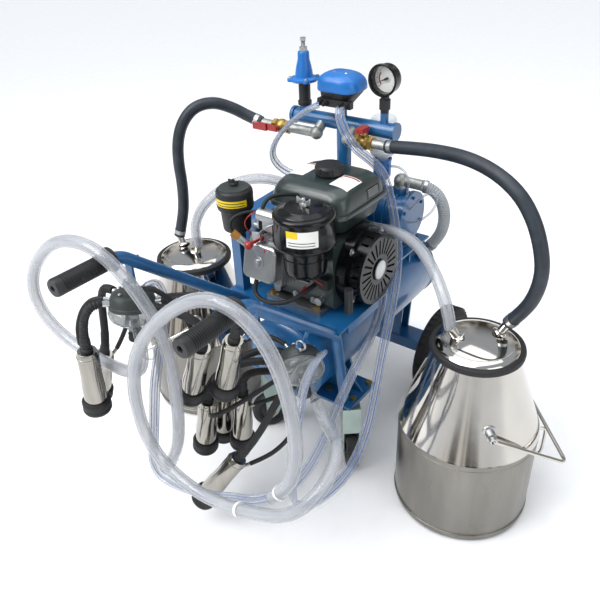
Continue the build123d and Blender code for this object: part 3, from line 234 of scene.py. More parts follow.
class Piece:
    """Gathers shapes in millimetres, then becomes one mesh that rides on a body."""

    def __init__(self, paint):
        self.points = []
        self.faces = []
        self.paints = [paint]
        self.now = 0

    def use(self, paint):
        if paint not in self.paints:
            self.paints.append(paint)
        self.now = self.paints.index(paint)
        return self

    def _add(self, points, faces):
        first = len(self.points)
        self.points.extend(points)
        self.faces.extend(([first + i for i in face], self.now) for face in faces)

    def loft(self, loops, cap=True):
        """Joins closed loops of the same number of points."""
        count = len(loops[0])
        points = [Vector(p) for loop in loops for p in loop]
        faces = []
        for k in range(len(loops) - 1):
            for i in range(count):
                j = (i + 1) % count
                faces.append([k * count + i, k * count + j, (k + 1) * count + j, (k + 1) * count + i])
        if cap:
            faces.append(list(reversed(range(count))))
            faces.append([(len(loops) - 1) * count + i for i in range(count)])
        self._add(points, faces)
        return self

    def turn(self, profile, place=None, segments=64, span=None):
        """A closed profile of (radius, height) turned about Z, whole or over an angle."""
        place = place or Matrix.Identity(4)
        whole = span is None
        low, high = (0.0, 360.0) if whole else span
        steps = segments if whole else segments + 1
        points, index = [], []
        for k in range(steps):
            a = math.radians(low + (high - low) * k / segments)
            row = []
            for m, (r, z) in enumerate(profile):
                if r == 0 and k:
                    row.append(index[0][m])
                    continue
                row.append(len(points))
                points.append(place @ Vector((r * math.cos(a), r * math.sin(a), z)))
            index.append(row)
        faces = []
        size = len(profile)
        for k in range(segments):
            a, b = index[k], index[(k + 1) % steps]
            for m in range(size):
                n = (m + 1) % size
                corner = [a[m], b[m], b[n], a[n]]
                face = [v for i, v in enumerate(corner) if v not in corner[:i]]
                if len(face) > 2:
                    faces.append(face)
        if not whole:
            faces.append(list(reversed(index[0])))
            faces.append(index[-1])
        self._add(points, faces)
        return self

    def rod(self, start, end, radius, thin=None, segments=32):
        a, b = Vector(start), Vector(end)
        long = (b - a).length
        thin = radius if thin is None else thin
        c = min(0.7, radius * 0.2, long * 0.3)
        return self.turn([(0, 0), (radius - c, 0), (radius, c), (thin, long - c), (thin - c, long),
                          (0, long)],
                         place_at(a, b - a), segments)

    def prism(self, outline, low, high, place=None):
        place = place or Matrix.Identity(4)
        return self.loft([[place @ Vector((x, y, z)) for x, y in outline] for z in (low, high)])

    def brick(self, low, high, place=None):
        outline = [(low[0], low[1]), (high[0], low[1]), (high[0], high[1]), (low[0], high[1])]
        return self.prism(outline, low[2], high[2], place)

    def hexagon(self, centre, axis, flat, high, washer=0.0):
        place = place_at(centre, axis)
        if washer:
            self.turn([(0, 0), (washer, 0), (washer, 1.2), (0, 1.2)], place, 24)
        self.prism(circle(flat, 6), 0.6, high, place)
        return self.turn([(0, high - 0.4), (flat * 0.5, high - 0.4), (flat * 0.42, high + 1.2),
                          (0, high + 1.2)],
                         place, 20)

    def ring(self, radius, minor, place=None, segments=64, around=14):
        profile = [(radius + minor * math.cos(math.tau * i / around), minor * math.sin(math.tau * i / around))
                   for i in range(around)]
        return self.turn(profile, place, segments)

    def sweep(self, points, radius, segments=16, shift=(0.0, 0.0), flat=1.0):
        """A tube along points; radius may be a function of the distance along it."""
        ahead = (points[1] - points[0]).normalized()
        up = Vector((0, 0, 1)) if abs(ahead.z) < 0.9 else Vector((0, 1, 0))
        side = ahead.cross(up).normalized()
        loops, along = [], 0.0
        for i, point in enumerate(points):
            if i:
                along += (point - points[i - 1]).length
            ahead = (points[min(i + 1, len(points) - 1)] - points[max(i - 1, 0)]).normalized()
            side = (side - ahead * side.dot(ahead)).normalized()
            up = side.cross(ahead)
            r = radius(along) if callable(radius) else radius
            middle = point + side * shift[0] + up * shift[1]
            loops.append([middle + side * (r * math.cos(math.tau * k / segments))
                          + up * (r * flat * math.sin(math.tau * k / segments)) for k in range(segments)])
        return self.loft(loops)

    def done(self, name, body="trolley", replaces=(), slot=None, bevel=0.0, angle=38):
        """Makes the mesh; bevel is in millimetres, angle is where shading turns sharp."""
        mesh = bpy.data.meshes.new(name)
        work = bmesh.new()
        verts = [work.verts.new(p * MM) for p in self.points]
        for loop, paint in self.faces:
            try:
                face = work.faces.new([verts[i] for i in loop])
            except ValueError:
                continue
            face.material_index = paint
            face.smooth = True
        bmesh.ops.recalc_face_normals(work, faces=work.faces)
        work.to_mesh(mesh)
        work.free()
        for paint in self.paints:
            mesh.materials.append(paint)
        mesh.set_sharp_from_angle(angle=math.radians(angle))
        thing = bpy.data.objects.new(name, mesh)
        bpy.context.scene.collection.objects.link(thing)
        if bevel:
            cut = thing.modifiers.new("edges", "BEVEL")
            cut.width = bevel * MM
            cut.segments = 2
            cut.limit_method = "ANGLE"
            cut.angle_limit = math.radians(35)
            cut.harden_normals = False
        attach(thing, body)
        if replaces:
            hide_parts(*replaces)
        return thing


def paint(node, *materials):
    """Give a kept CAD node its material."""
    data = nodes[node].data
    data.materials.clear()
    for made in materials:
        data.materials.append(made)
    return data


def paint_where(node, first, *rules):
    """Give the faces of a kept CAD node that lie in a box another material."""
    data = paint(node, first, *[made for made, _, _ in rules])
    for face in data.polygons:
        face.material_index = 0
        centre = face.center / MM
        for i, (_, low, high) in enumerate(rules):
            if all(l <= c <= h for l, c, h in zip(low, centre, high)):
                face.material_index = i + 1


def decal(piece, tree, place, across, along, lift=0.35, steps=14):
    """A thin label that lies on a curved surface; across and along span it from its middle."""
    down = -(place.to_3x3() @ Vector((0, 0, 1)))
    outer, inner = [], []
    for i in range(steps + 1):
        for j in range(steps + 1):
            flat = Vector(across) * (i / steps - 0.5) + Vector(along) * (j / steps - 0.5)
            start = place @ Vector((flat.x, flat.y, 12))
            spot, normal, _, _ = tree.ray_cast(start, down)
            spot, normal = (spot, normal) if spot else (place @ Vector((flat.x, flat.y, 0)), -down)
            normal = normal if normal.dot(down) < 0 else -normal
            outer.append(spot + normal * lift)
            inner.append(spot - normal * 0.3)
    row = steps + 1
    size = row * row
    faces = []
    for i in range(steps):
        for j in range(steps):
            k = i * row + j
            faces.append([k, k + row, k + row + 1, k + 1])
            faces.append([size + k, size + k + 1, size + k + row + 1, size + k + row])
    rim = ([i * row for i in range(row)] + [steps * row + j for j in range(1, row)]
           + [i * row + steps for i in range(steps - 1, -1, -1)] + list(range(steps - 1, 0, -1)))
    for k, v in enumerate(rim):
        w = rim[(k + 1) % len(rim)]
        faces.append([v, size + v, size + w, w])
    piece._add(outer + inner, faces)


# ---- cords --------------------------------------------------------------------
def metres(route):
    return [Vector(p) * MM for p in route]


def smooth(points, resolution=10):
    """Points in millimetres on the spline through a route."""
    return [p / MM for p in spline_points(metres(points), resolution)]


def line_length(points):
    return sum((b - a).length for a, b in zip(points, points[1:]))


def hose(name, route, radius, made, node, body="trolley"):
    """A round hose: one smooth spline with a round section."""
    data = bpy.data.curves.new(name, "CURVE")
    fill_spline(data, metres(route), 12)
    data.bevel_depth = radius * MM
    data.bevel_resolution = 6
    data.use_fill_caps = True
    data.materials.append(made)
    thing = bpy.data.objects.new(name, data)
    bpy.context.scene.collection.objects.link(thing)
    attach(thing, body)
    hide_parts(node)
    if made == PVC:
        inner = bpy.data.objects.new(name + "_bore", data.copy())
        inner.data.bevel_depth = radius * MM * 0.66
        inner.data.materials[0] = BORE
        bpy.context.scene.collection.objects.link(inner)
        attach(inner, body)
    length = line_length(spline_points(metres(route)))
    return thing


def mesh_hose(name, route, shape, made, node, slot):
    """A hose of another section, following its spline; shape adds it to a piece."""
    line = spline_points(metres(route))
    piece = Piece(made)
    shape(piece, [p / MM for p in line])
    thing = piece.done(name, replaces=(node,), slot=slot)
    return thing


def at(name, x, y, z):
    bx, by = BUCKETS[name]
    return (bx + x, by + y, z)


BUCKETS = {"left": (-382, 25), "right": (382, 65)}
CLAWS = {
    "left": {"at": (-150, -352, 556), "axis": (0.1, -0.2, -1.0), "eye": (-150, -354, 602.7),
             "outlet": (0.5, -0.35, -0.6), "pulse": (-0.35, 0.9, 0.1)},
    "right": {"at": (106, -168, 405), "axis": (0.62, -0.66, -0.42), "eye": (117, -178, 462),
              "outlet": (0.58, -0.09, -0.81), "pulse": (0.75, 0.3, 0.58)},
}
CUPS = {
    "left": [
        {"top": (-201, -440, 481), "axis": (-0.10, 0.0, -1.0), "port": (-0.50, -0.80, 0.30),
         "side": (-1, 0.3, 0)},
        {"top": (-290, -352, 380), "axis": (-0.38, 0.0, -0.92), "port": (-0.95, 0.05, 0.20),
         "side": (0, 1, 0)},
        {"top": (-8, -322, 495), "axis": (-0.35, 0.0, -0.94), "port": (0.85, -0.15, 0.35),
         "side": (-0.3, 0.3, 1)},
        {"top": (40, -282, 508), "axis": (-0.29, 0.0, -0.96), "port": (0.75, 0.60, 0.10), "side": (0, 1, 0)},
    ],
    "right": [
        {"top": (-60, -280, 308), "axis": (-0.20, 0.0, -0.98), "port": (-0.95, -0.15, -0.20),
         "side": (0.6, -0.5, -0.8)},
        {"top": (22, -290, 193), "axis": (-0.475, -0.363, -0.80), "port": (-0.25, -0.60, -0.76),
         "side": (0.5, 0.6, 0)},
        {"top": (-20, -215, 300), "axis": (-0.10, -0.02, -1.0), "port": (-0.75, 0.10, -0.65),
         "side": (1, 0, 0)},
        {"top": (-72, -222, 285), "axis": (-0.18, 0.06, -1.0), "port": (-0.90, 0.25, -0.10),
         "side": (-0.5, 0.3, 0.8)},
    ],
}
NOZZLE_REACH = 58


def claw_point(name, direction, reach=NOZZLE_REACH):
    return Vector(CLAWS[name]["at"]) + Vector(direction).normalized() * reach


def pulse_direction(cup):
    return Vector(cup["port"]).normalized() + Vector(cup["side"]).normalized() * 0.6


def outlet_end(name, reach=62):
    claw = CLAWS[name]
    middle = Vector(claw["at"]) + Vector(claw["axis"]).normalized() * 20
    return middle + Vector(claw["outlet"]).normalized() * reach


VACUUM_RIGHT = [(84, 193, 747), (138, 188, 755), (208, 176, 765), (284, 157, 770), (350, 138, 760),
                (402, 124, 735), (437, 113, 698), (460, 105, 654), (473, 101, 606), (469, 102, 556),
                (452, 107, 508), at("right", 40, 51, 462)]
VACUUM_LEFT = [(-263, 193, 747), (-294, 186, 757), (-326, 162, 781), (-356, 128, 799), (-386, 92, 791),
               (-407, 68, 756), (-418, 56, 711), (-421, 52, 660), (-418, 52, 605), (-421, 50, 550),
               (-428, 44, 505), at("left", -54, 8, 462)]
MILK_TRANSFER = [at("right", -49, -30, 462), (326, 30, 503), (300, 48, 538), (257, 84, 563), (203, 124, 577),
                 (137, 160, 572), (68, 180, 556), (2, 188, 548), (-56, 184, 564), (-108, 174, 596),
                 (-158, 154, 624), (-212, 126, 638), (-264, 94, 630), (-306, 60, 604), (-336, 32, 568),
                 (-352, 18, 526), (-355, 16, 494), at("left", 29, -9, 464)]
MILK_RIGHT = [outlet_end("right"), outlet_end("right", 88),
              (190, -204, 322), (222, -234, 338), (256, -266, 362), (290, -308, 384), (306, -354, 376),
              (296, -398, 344), (258, -422, 304), (190, -428, 272), (110, -428, 240),
              (32, -428, 230), (-42, -428, 250), (-86, -428, 300), (-98, -428, 372), (-90, -428, 450),
              (-62, -427, 528), (-12, -424, 598), (48, -419, 656), (104, -414, 692), (156, -411, 702),
              (210, -408, 680), (246, -405, 626), (264, -402, 556), (271, -400, 486), (268, -399, 416),
              (246, -398, 346), (206, -396, 292)]
MILK_LEFT = [outlet_end("left"), outlet_end("left", 88),
             (-104, -400, 446), (-144, -399, 426), (-208, -396, 416), (-278, -396, 416),
             (-342, -401, 434), (-388, -407, 474), (-402, -409, 530), (-378, -407, 588),
             (-330, -406, 640), (-270, -407, 682), (-206, -407, 703), (-150, -407, 703), (-102, -402, 676),
             (-64, -394, 626), (-38, -385, 564), (-30, -381, 496), (-34, -378, 424), (-44, -375, 350),
             (-58, -373, 278), (-86, -371, 206), (-130, -369, 140)]
TWIN_LEFT = [(-74, 170, 820), (-90, 158, 814), (-126, 154, 790), (-166, 156, 755), (-202, 160, 712),
             (-220, 172, 672), (-204, 190, 638), (-166, 206, 624), (-128, 210, 610), (-88, 204, 572),
             (-44, 188, 530), (14, 178, 500), (72, 174, 472), (112, 152, 434), (129, 114, 398),
             (142, 56, 362), (153, -10, 342), (164, -74, 328), (174, -138, 300), (186, -204, 266),
             (194, -272, 246), (196, -334, 254), (184, -378, 262), (150, -399, 250), (112, -400, 234),
             (50, -402, 198), (-14, -402, 178), (-70, -400, 158), (-112, -402, 162), (-122, -402, 204),
             (-108, -398, 266), (-98, -392, 334), (-98, -376, 402), (-112, -340, 456), (-136, -296, 496),
             (-160, -268, 532), (-176, -270, 560), claw_point("left", CLAWS["left"]["pulse"])]
TWIN_RIGHT = [(-20, 170, 820), (-14, 156, 808), (6, 150, 778), (28, 156, 744), (48, 182, 716),
              (66, 208, 684), (80, 218, 636), (98, 214, 578), (124, 192, 520), (148, 146, 466),
              (168, 88, 412),
              (186, 26, 354), (202, -28, 288), (216, -80, 222), (225, -142, 184), (229, -204, 176),
              (227, -268, 186), (223, -328, 212), (226, -364, 262), (232, -368, 324), (232, -358, 388),
              (224, -332, 444), (206, -290, 478), (190, -240, 486), (172, -192, 466),
              claw_point("right", CLAWS["right"]["pulse"])]
SUCTION = [(96, 353, 604), (122, 358, 598), (142, 367, 572), (150, 377, 532), (144, 386, 488),
           (128, 392, 452), (108, 392, 424)]
OIL_TUBE = [(10, 340, 640), (38, 330, 650), (64, 322, 644), (78, 318, 622), (76, 318, 600), (72, 322, 580)]
OIL_LOOP = [(79, 318, 516), (102, 312, 524), (132, 308, 546), (155, 308, 578), (156, 312, 604),
            (136, 316, 608), (112, 320, 590), (94, 324, 566), (79, 328, 546)]
PLUG_LEAD = [(-116, -97, 612), (-124, -98, 630), (-116, -82, 646), (-98, -52, 648), (-78, -28, 636),
             (-62, -14, 620), (-58, -10, 600)]
FUEL_HOSE = [(-24, 16, 676), (-33, -12, 686), (-46, -40, 690), (-53, -60, 683), (-54, -66, 669.8)]
BREATHER = [(-58, -94, 518), (-60, -108, 498), (-40, -116, 482), (-4, -112, 480), (26, -94, 486),
            (40, -60, 496), (44, -28, 500)]


# ---- ties ---------------------------------------------------------------------
def tie(name, route, index, radius):
    a, b = Vector(route[index]), Vector(route[index + 1])
    line = smooth(route)
    middle = min(line, key=lambda p: (p - (a + b) / 2).length)
    place = place_at(middle, b - a)
    strap = Piece(TIE)
    strap.turn([(radius, -3), (radius + 1.4, -3), (radius + 1.4, 3), (radius, 3)], place, 40)
    lock = place @ spin(200)
    strap.brick((radius, -4, -3.5), (radius + 6, 4, 3.5), lock)
    strap.brick((radius + 3, -1.8, 3), (radius + 4.2, 1.8, 20), lock)
    return strap.done(name, replaces=("clamps_and_ties",), slot="white_plastic", bevel=0.3)


right_ties = [tie("tie_loop", MILK_RIGHT, 9, 12.6), tie("tie_right", MILK_RIGHT, len(MILK_RIGHT) - 2, 12.6)]
left_ties = [tie("tie_left", MILK_LEFT, len(MILK_LEFT) - 2, 12.6)]

hose("vacuum_right", VACUUM_RIGHT, 14, SLATE, "vacuum_hose_right")
hose("vacuum_left", VACUUM_LEFT, 14, SLATE, "vacuum_hose_left")
hose("milk_transfer", MILK_TRANSFER, 12.5, PVC, "transfer_hose")
hose("milk_right", MILK_RIGHT, 12.5, PVC, "milk_hose_right")
hose("milk_left", MILK_LEFT, 12.5, PVC, "milk_hose_left")


def twin(piece, line):
    for side in (-1, 1):
        piece.use(PVC_THIN).sweep(line, 5.4, 14, (side * 5.2, 0))
        piece.use(STRIPE).sweep(line, 1.1, 6, (side * 5.2, 4.8))


mesh_hose("twin_left", TWIN_LEFT, twin, PVC_THIN, "pulse_tube_left", "clear_hose")
mesh_hose("twin_right", TWIN_RIGHT, twin, PVC_THIN, "pulse_tube_right", "clear_hose")


def spiral(piece, line):
    fine = [line[0]]
    for a, b in zip(line, line[1:]):
        for k in range(1, 7):
            fine.append(a.lerp(b, k / 6))
    piece.sweep(fine, lambda d: 14.0 + 0.9 * math.cos(d * math.tau / 5.5), 24)


mesh_hose("suction_pipe", SUCTION, spiral, GREY, "small_hoses", "hose_rubber")
hose("oil_feed", OIL_TUBE, 3, PVC_THIN, "small_hoses")
hose("oil_return", OIL_LOOP, 3, PVC_THIN, "small_hoses")
hose("plug_wire", PLUG_LEAD, 3.5, RUBBER, "small_hoses")
hose("fuel_line", FUEL_HOSE, 4, RUBBER, "small_hoses")
hose("breather_tube", BREATHER, 5, RUBBER, "small_hoses")


# ---- clusters -----------------------------------------------------------------
def cup_place(cup):
    return place_at(cup["top"], cup["axis"], cup["side"])


def arch(start, leave, end, arrive, count=6):
    points = []
    for i in range(count + 1):
        t = i / count
        a, b, c, d = (1 - t) ** 3, 3 * t * (1 - t) ** 2, 3 * t**2 * (1 - t), t**3
        points.append(start * a + (start + leave) * b + (end + arrive) * c + end * d)
    return points


def ribbed(piece, line):
    """A plain rubber tube with a ribbed boot near each end."""
    long = line_length(line)
    fine = []
    for a, b in zip(line, line[1:]):
        fine.extend(a.lerp(b, k / 4) for k in range(4))
    fine.append(line[-1])

    def radius(d):
        near = min(d, long - d)
        rib = 0.7 * math.cos(d * math.tau / 6.0) if 6 < near < 34 else 0.0
        return 8.0 + rib + (0.3 if near < 34 else 0.0)

    piece.sweep(fine, radius, 20)


for name, cups in CUPS.items():
    for i, cup in enumerate(cups):
        place = cup_place(cup)
        axis = Vector(cup["axis"]).normalized()
        port = claw_point(name, cup["port"])
        tail = place @ Vector((0, 0, -34))
        span = (tail - port).length * 0.42
        route = arch(port, Vector(cup["port"]).normalized() * span, tail, axis * -span)
        mesh_hose(f"short_milk_{name}_{i}", route, ribbed, RUBBER, "cluster_tubes", "black_rubber")
        port = claw_point(name, pulse_direction(cup))
        nipple = place @ Vector((36, 0, 10))
        away = (place @ Vector((37, 0, 9))) - nipple
        span = (nipple - port).length * 0.36
        route = arch(port, pulse_direction(cup).normalized() * span, nipple, away.normalized() * span)
        hose(f"short_pulse_{name}_{i}", route, 5, RUBBER, "cluster_tubes")

        shell = Piece(CUP_STEEL)
        shell.turn([(12, 0), (18, 0), (21, 8), (21, 60), (23, 90), (23, 128), (21.5, 128), (21.5, 90),
                    (19.5, 60), (19.5, 9), (17, 2), (12, 2)], place, 48)
        shell.rod(place @ Vector((20.5, 0, 26)), nipple, 4)
        shell.ring(21.2, 0.8, place @ move(0, 0, 11), 48, 8)
        shell.done(f"cup_shell_{name}_{i}", replaces=("cup_shells",), slot="stainless", bevel=0.5)
        liner = Piece(RUBBER)
        liner.turn([(9, 158), (12, 160), (24, 160), (27, 158), (29, 153), (29, 149), (28, 147), (28.5, 143),
                    (29, 132), (26, 127), (20, 127), (14, 128), (12, 30), (12, -4), (9, -6), (9, -10),
                    (10, -12),
                    (10, -16), (9, -18), (10, -20), (10, -24), (9, -26), (9, -34), (5, -34), (7, 0), (8, 30),
                    (9, 128)], place @ move(0, 0, -2), 48)
        liner.done(f"cup_liner_{name}_{i}", replaces=("cup_liners",), slot="black_rubber", bevel=0.5)

for name, claw in CLAWS.items():
    place = place_at(claw["at"], claw["axis"])
    centre = Vector(claw["at"])
    head = Piece(DARK_CAST)
    head.turn([(0, -30), (22, -30), (30, -29), (37, -26), (41, -20), (44, -10), (44, -4), (45.5, -3),
               (45.5, 3), (44, 4), (0, 4)], place)
    for cup in CUPS[name]:
        head.use(ZINC).rod(centre, claw_point(name, cup["port"]), 6.5, 6.0)
        head.rod(centre, claw_point(name, pulse_direction(cup)), 4, 3.6)
    head.rod(centre, claw_point(name, claw["pulse"]), 6)
    head.ring(10, 2.4, place_at(claw["eye"], (0, 1, 0)), 32, 10)
    head.rod(Vector(claw["eye"]) - Vector((0, 0, 10)), centre, 3.5)
    for k in range(4):
        spot = place @ spin(90 * k + 20) @ Vector((31, 0, -28.5))
        head.hexagon(spot, -Vector(claw["axis"]), 4, 3.4)
    head.done(f"claw_head_{name}", replaces=("claws",), slot="cast_alloy", bevel=0.6)
    bowl = Piece(SMOKE)
    bowl.turn([(0, 4), (45, 4), (47.5, 8), (48, 12), (46.5, 21), (42, 28), (34, 34), (22, 37), (14, 38),
               (13.5, 50), (12, 52), (0, 52)], place)
    middle = centre + Vector(claw["axis"]).normalized() * 20
    bowl.rod(middle, outlet_end(name), 9, 8.6)
    bowl.done(f"claw_bowl_{name}", replaces=("claws",), slot="clear_hose", bevel=0.6)
    knob = Piece(RUBBER)
    profile = [(0, 31), (6, 31), (6, 54.5), (12, 54.5), (13.5, 56), (14, 58), (13, 61), (14, 64), (14, 69),
               (12.5, 72.5), (10, 74), (0, 74)]
    knob.turn(profile, place, 40)
    knob.done(f"claw_knob_{name}", f"plunger_{name}", (f"claw_plunger_{name}",), "black_rubber", 0.4)


# ---- buckets ------------------------------------------------------------------
SPIGOTS = {
    "right": [((-34, -21, 436), (-49, -30, 462)), ((28, 36, 436), (40, 51, 462))],
    "left": [((-38, 5, 436), (-54, 8, 462)), ((18, -6, 438), (29, -9, 464))],
}
BAIL_TURN = {"left": 220, "right": 40}
for name, (bx, by) in BUCKETS.items():
    place = move(bx, by, 0) @ spin(BAIL_TURN[name])
    can = Piece(SATIN)
    can.turn([(0, 1.2), (138, 1.2), (140, 0), (146, 1.5), (149, 5), (150, 10), (150, 225), (148.4, 228),
              (146, 226), (146, 10), (140, 4), (0, 4)], place, 128)
    for z, minor in ((18, 2.2), (24, 1.0), (214, 1.2)):
        can.ring(149.6, minor, place @ move(0, 0, z), 128, 10)
    can.use(MIRROR)
    can.turn([(149.8, 226), (151.2, 228), (150.2, 230), (85.5, 406), (84, 411), (88, 413), (89, 416),
              (88, 418), (84, 417), (82.5, 411), (148, 228)], place, 128)
    for side in (-1, 1):
        can.use(ZINC).turn([(0, 0), (14, 0), (14, 4), (10, 6), (10, 22), (0, 22)],
                           place @ place_at((0, side * 120, 300), (0, side, 0)), 32)
    can.use(MIRROR)
    grip = [(146, 0, 96), (168, 0, 96), (181, 0, 97), (184, 0, 110), (184, 0, 136), (184, 0, 162),
            (181, 0, 175), (168, 0, 176), (146, 0, 176)]
    line = smooth(grip, 8)
    can.sweep([place @ p for p in line], 3.5, 12)
    for z in (96, 176):
        can.prism(rounded(22, 12, 5), 0, 1.4, place @ place_at((148.8, 0, z), (1, 0, 0)))
    can.done(f"bucket_{name}", replaces=("bucket_bodies",), slot="stainless")

    lid = Piece(MIRROR)
    dome = [(88 * math.cos(math.radians(a)), 421 + 23.5 * math.sin(math.radians(a))) for a in range(4, 90, 8)]
    lid.turn([(0, 420), (86, 420), (88, 421)] + dome[1:] + [(0, 444.6)], move(bx, by, 0), 96)
    lid.ring(71, 1.0, move(bx, by, 434.4), 96, 8)
    for low, high in SPIGOTS[name]:
        low, high = Vector(at(name, *low)), Vector(at(name, *high))
        lid.rod(low, high, 10, 9.6)
        lid.turn([(0, 0), (17, 0), (16, 3), (11, 6), (0, 6)],
                 place_at(low + (high - low) * 0.12, high - low), 32)
    lid.done(f"lid_{name}", replaces=("bucket_lids",), slot="stainless")
    seal = Piece(RUBBER)
    seal.turn([(86, 411.5), (93, 412), (96, 415), (96.5, 420), (95, 425), (91, 427.5), (86, 427),
               (84.5, 422.5),
               (89.5, 421.5), (90, 418)], move(bx, by, 0), 96)
    seal.done(f"gasket_{name}", replaces=("lid_gaskets",), slot="black_rubber")
    for side in (-1, 1):
        sleeve = Piece(ZINC)
        sleeve.turn([(4.3, -1), (7.5, 0), (7.5, 9), (4.3, 10)],
                    place @ place_at((0, side * 143.5, 300), (0, side, 0)), 24)
        sleeve.done(f"bail_ear_{name}_{'b' if side > 0 else 'a'}", slot="zinc", bevel=0.3)
    paint(f"bail_{name}", MIRROR)


# ---- vacuum tank, wheels and casters ------------------------------------------
tank = Piece(BLUE)
arc = [(math.sin(math.radians(a)), math.cos(math.radians(a))) for a in range(0, 91, 9)]
low = [(100 * s, TANK_FRONT - 28 * c) for s, c in arc]
high = [(100 * s, TANK_BACK + 28 * c) for s, c in reversed(arc)]
tank.turn(low + high, place_at((0, 0, TANK_AXIS_Z), (0, 1, 0)), 96)
for y in (TANK_FRONT, TANK_BACK):
    tank.ring(99.6, 2.3, place_at((0, y, TANK_AXIS_Z), (0, 1, 0)), 96, 10)
tank.rod((0, 200, 206), (0, 200, 224), 11)
tank.hexagon((0, 200, 208), (0, 0, -1), 9, 5)
tank.rod((74, 392, 375), (108, 392, 424), 12)
tank.done("tank_shell", replaces=("vacuum_tank",), slot="frame_blue")

for side, name in ((-1, "left"), (1, "right")):
    place = place_at((side * WHEEL_X, WHEEL_Y, WHEEL_RADIUS), (1, 0, 0))
    tyre = Piece(TYRE)
    tyre.turn([(91, -20), (94, -26), (100, -27.6), (110, -27.8), (118, -26), (124, -21), (127, -14),
               (127.5, -4),
               (125.5, -3), (125.5, 3), (127.5, 4), (127, 14), (124, 21), (118, 26), (110, 27.8), (100, 27.6),
               (94, 26), (91, 20)], place, 96)
    for k in range(44):
        for row in (-1, 1):
            spot = place @ spin(k * 360 / 44 + (2 if row > 0 else 0))
            low, high = (4, 18) if row > 0 else (-18, -4)
            tyre.brick((124, low, -3.2), (129.8, high, 3.2),
                       spot @ spin(90, "X"))
    for radius in (98, 114):
        for face in (-1, 1):
            tyre.ring(radius, 0.8, place @ move(0, 0, face * 27.4), 96, 8)
    tyre.done(f"tyre_{name}", f"wheel_{name}", (f"wheel_tyre_{name}",), "tyre_rubber")
    paint(f"wheel_rim_{name}", CREAM)
    cap = Piece(ZINC)
    cap.hexagon((side * 214, WHEEL_Y, WHEEL_RADIUS), (side, 0, 0), 14, 8, 19)
    cap.done(f"axle_nut_{name}", slot="zinc", bevel=0.4)
    heading = math.atan2(-31, side * 26)
    hub = (side * 126, -9, 50)
    axis = (math.sin(heading), -math.cos(heading), 0)
    roller = Piece(BLACK)
    roller.turn([(4.1, -16), (10, -16), (12, -13), (14, -10), (28, -7), (34, -12), (37, -14), (45, -14),
                 (48.5, -12),
                 (50, -7), (50, 7), (48.5, 12), (45, 14), (37, 14), (34, 12), (28, 7), (14, 10), (12, 13),
                 (10, 16),
                 (4.1, 16)], place_at(hub, axis), 64)
    roller.done(f"roller_{name}_body", f"roller_{name}", (f"caster_wheel_{name}",), "black_rubber")
    paint(f"caster_fork_{name}", MINT)
    nuts = Piece(BRASS)
    for end in (-1, 1):
        nuts.hexagon(Vector(hub) + Vector(axis) * (end * 21.2), Vector(axis) * end, 7, 4.5, 9)
    nuts.done(f"caster_nuts_{name}", f"fork_{name}", slot="zinc", bevel=0.3)

for side in (-1, 1):
    grip = Piece(BLACK)
    profile = [(12, 0), (22, 0), (24, 2), (24, 6), (22, 8), (17, 9)]
    for k in range(22):
        z = 14 + k * 4.4
        profile += [(17, z), (15.6, z + 0.7), (15.6, z + 2.0), (17, z + 2.7)]
    profile += [(17, 120), (15, 123.5), (6, 124), (5, 122), (5, 118), (0, 118), (0, 100), (12, 100)]
    grip.turn(profile, place_at((side * 150, -376, 668), (0, -1, 0)), 48)
    grip.done(f"grip_{'right' if side > 0 else 'left'}", replaces=("handle_grips",), slot="black_plastic")


# ---- CAD nodes that are kept as they are --------------------------------------
for made, kept in ((BLUE, ("front_base", "rear_beam", "engine_platform", "handle_frame", "belt_guard",
                           "vacuum_pump", "manifold")),
                   (BLACK, ("recoil_handle", "fuel_cap", "gauge_needle")),
                   (RED, ("throttle_lever", "valve_lever_left", "valve_lever_right")),
                   (CAST, ("engine_pulley", "pump_pulley")),
                   (BRASS, ("frame_bolts",)), (GLOSS, ("recoil_cover",)), (ZINC, ("choke_lever",)),
                   (RUBBER, ("drive_belt",))):
    for node in kept:
        paint(node, made)


# ---- engine -------------------------------------------------------------------
HEAD = move(-36, *CRANK) @ spin(76, "X")
paint_where("crankcase", ENGINE, (CAST, (-100, -60, 430), (80, 170, 449)),
            (CAST, (-100, -150, 440), (60, -29, 700)))
paint_where("engine_fittings", ZINC,
            (GLOSS, (-130, -60, 558), (-72, 94, 604)),
            (AMBER, (-130, -112, 596), (-100, -84, 620)),
            (BLACK, (60, -50, 500), (92, -24, 534)),
            (CAST, (-100, -150, 440), (40, -20, 592)))
fan = Piece(BLACK)
place = place_at((118, *CRANK), (1, 0, 0))
fan.turn([(0, 0), (74, 0), (74, 3), (0, 3)], place, 64)
for k in range(18):
    fan.brick((26, -1.5, 2), (72, 1.5, 13), place @ spin(20 * k))
fan.done("flywheel_fan", "engine_shaft", slot="black_plastic")
fuel = Piece(ENGINE)
levels = [(602, 160, 148, 20), (606, 168, 156, 22), (641, 185, 171, 24), (642, 204, 192, 28),
          (644, 206, 194, 28),
          (650, 206, 194, 28), (652, 204, 192, 28), (652.5, 195, 183, 28), (664, 193, 181, 30),
          (674, 189, 177, 32),
          (682, 183, 171, 34), (688, 175, 163, 36), (693, 164, 152, 36), (697, 148, 136, 34),
          (699, 128, 116, 30),
          (700, 96, 84, 24)]
fuel.loft([[Vector((FUEL[0] + px, FUEL[1] + py, z)) for px, py in rounded(w, d, r, 8)] for z, w, d,
           r in levels])
fuel.turn([(0, 698), (24, 698), (24, 701), (22, 703), (22, 706), (0, 706)], move(0, 97, 0), 48)
shell = fuel.done("fuel_tank_shell", replaces=("fuel_tank",), slot="engine_paint", angle=30)
shell_tree = BVHTree.FromPolygons([v.co / MM for v in shell.data.vertices],
                                  [tuple(p.vertices) for p in shell.data.polygons])
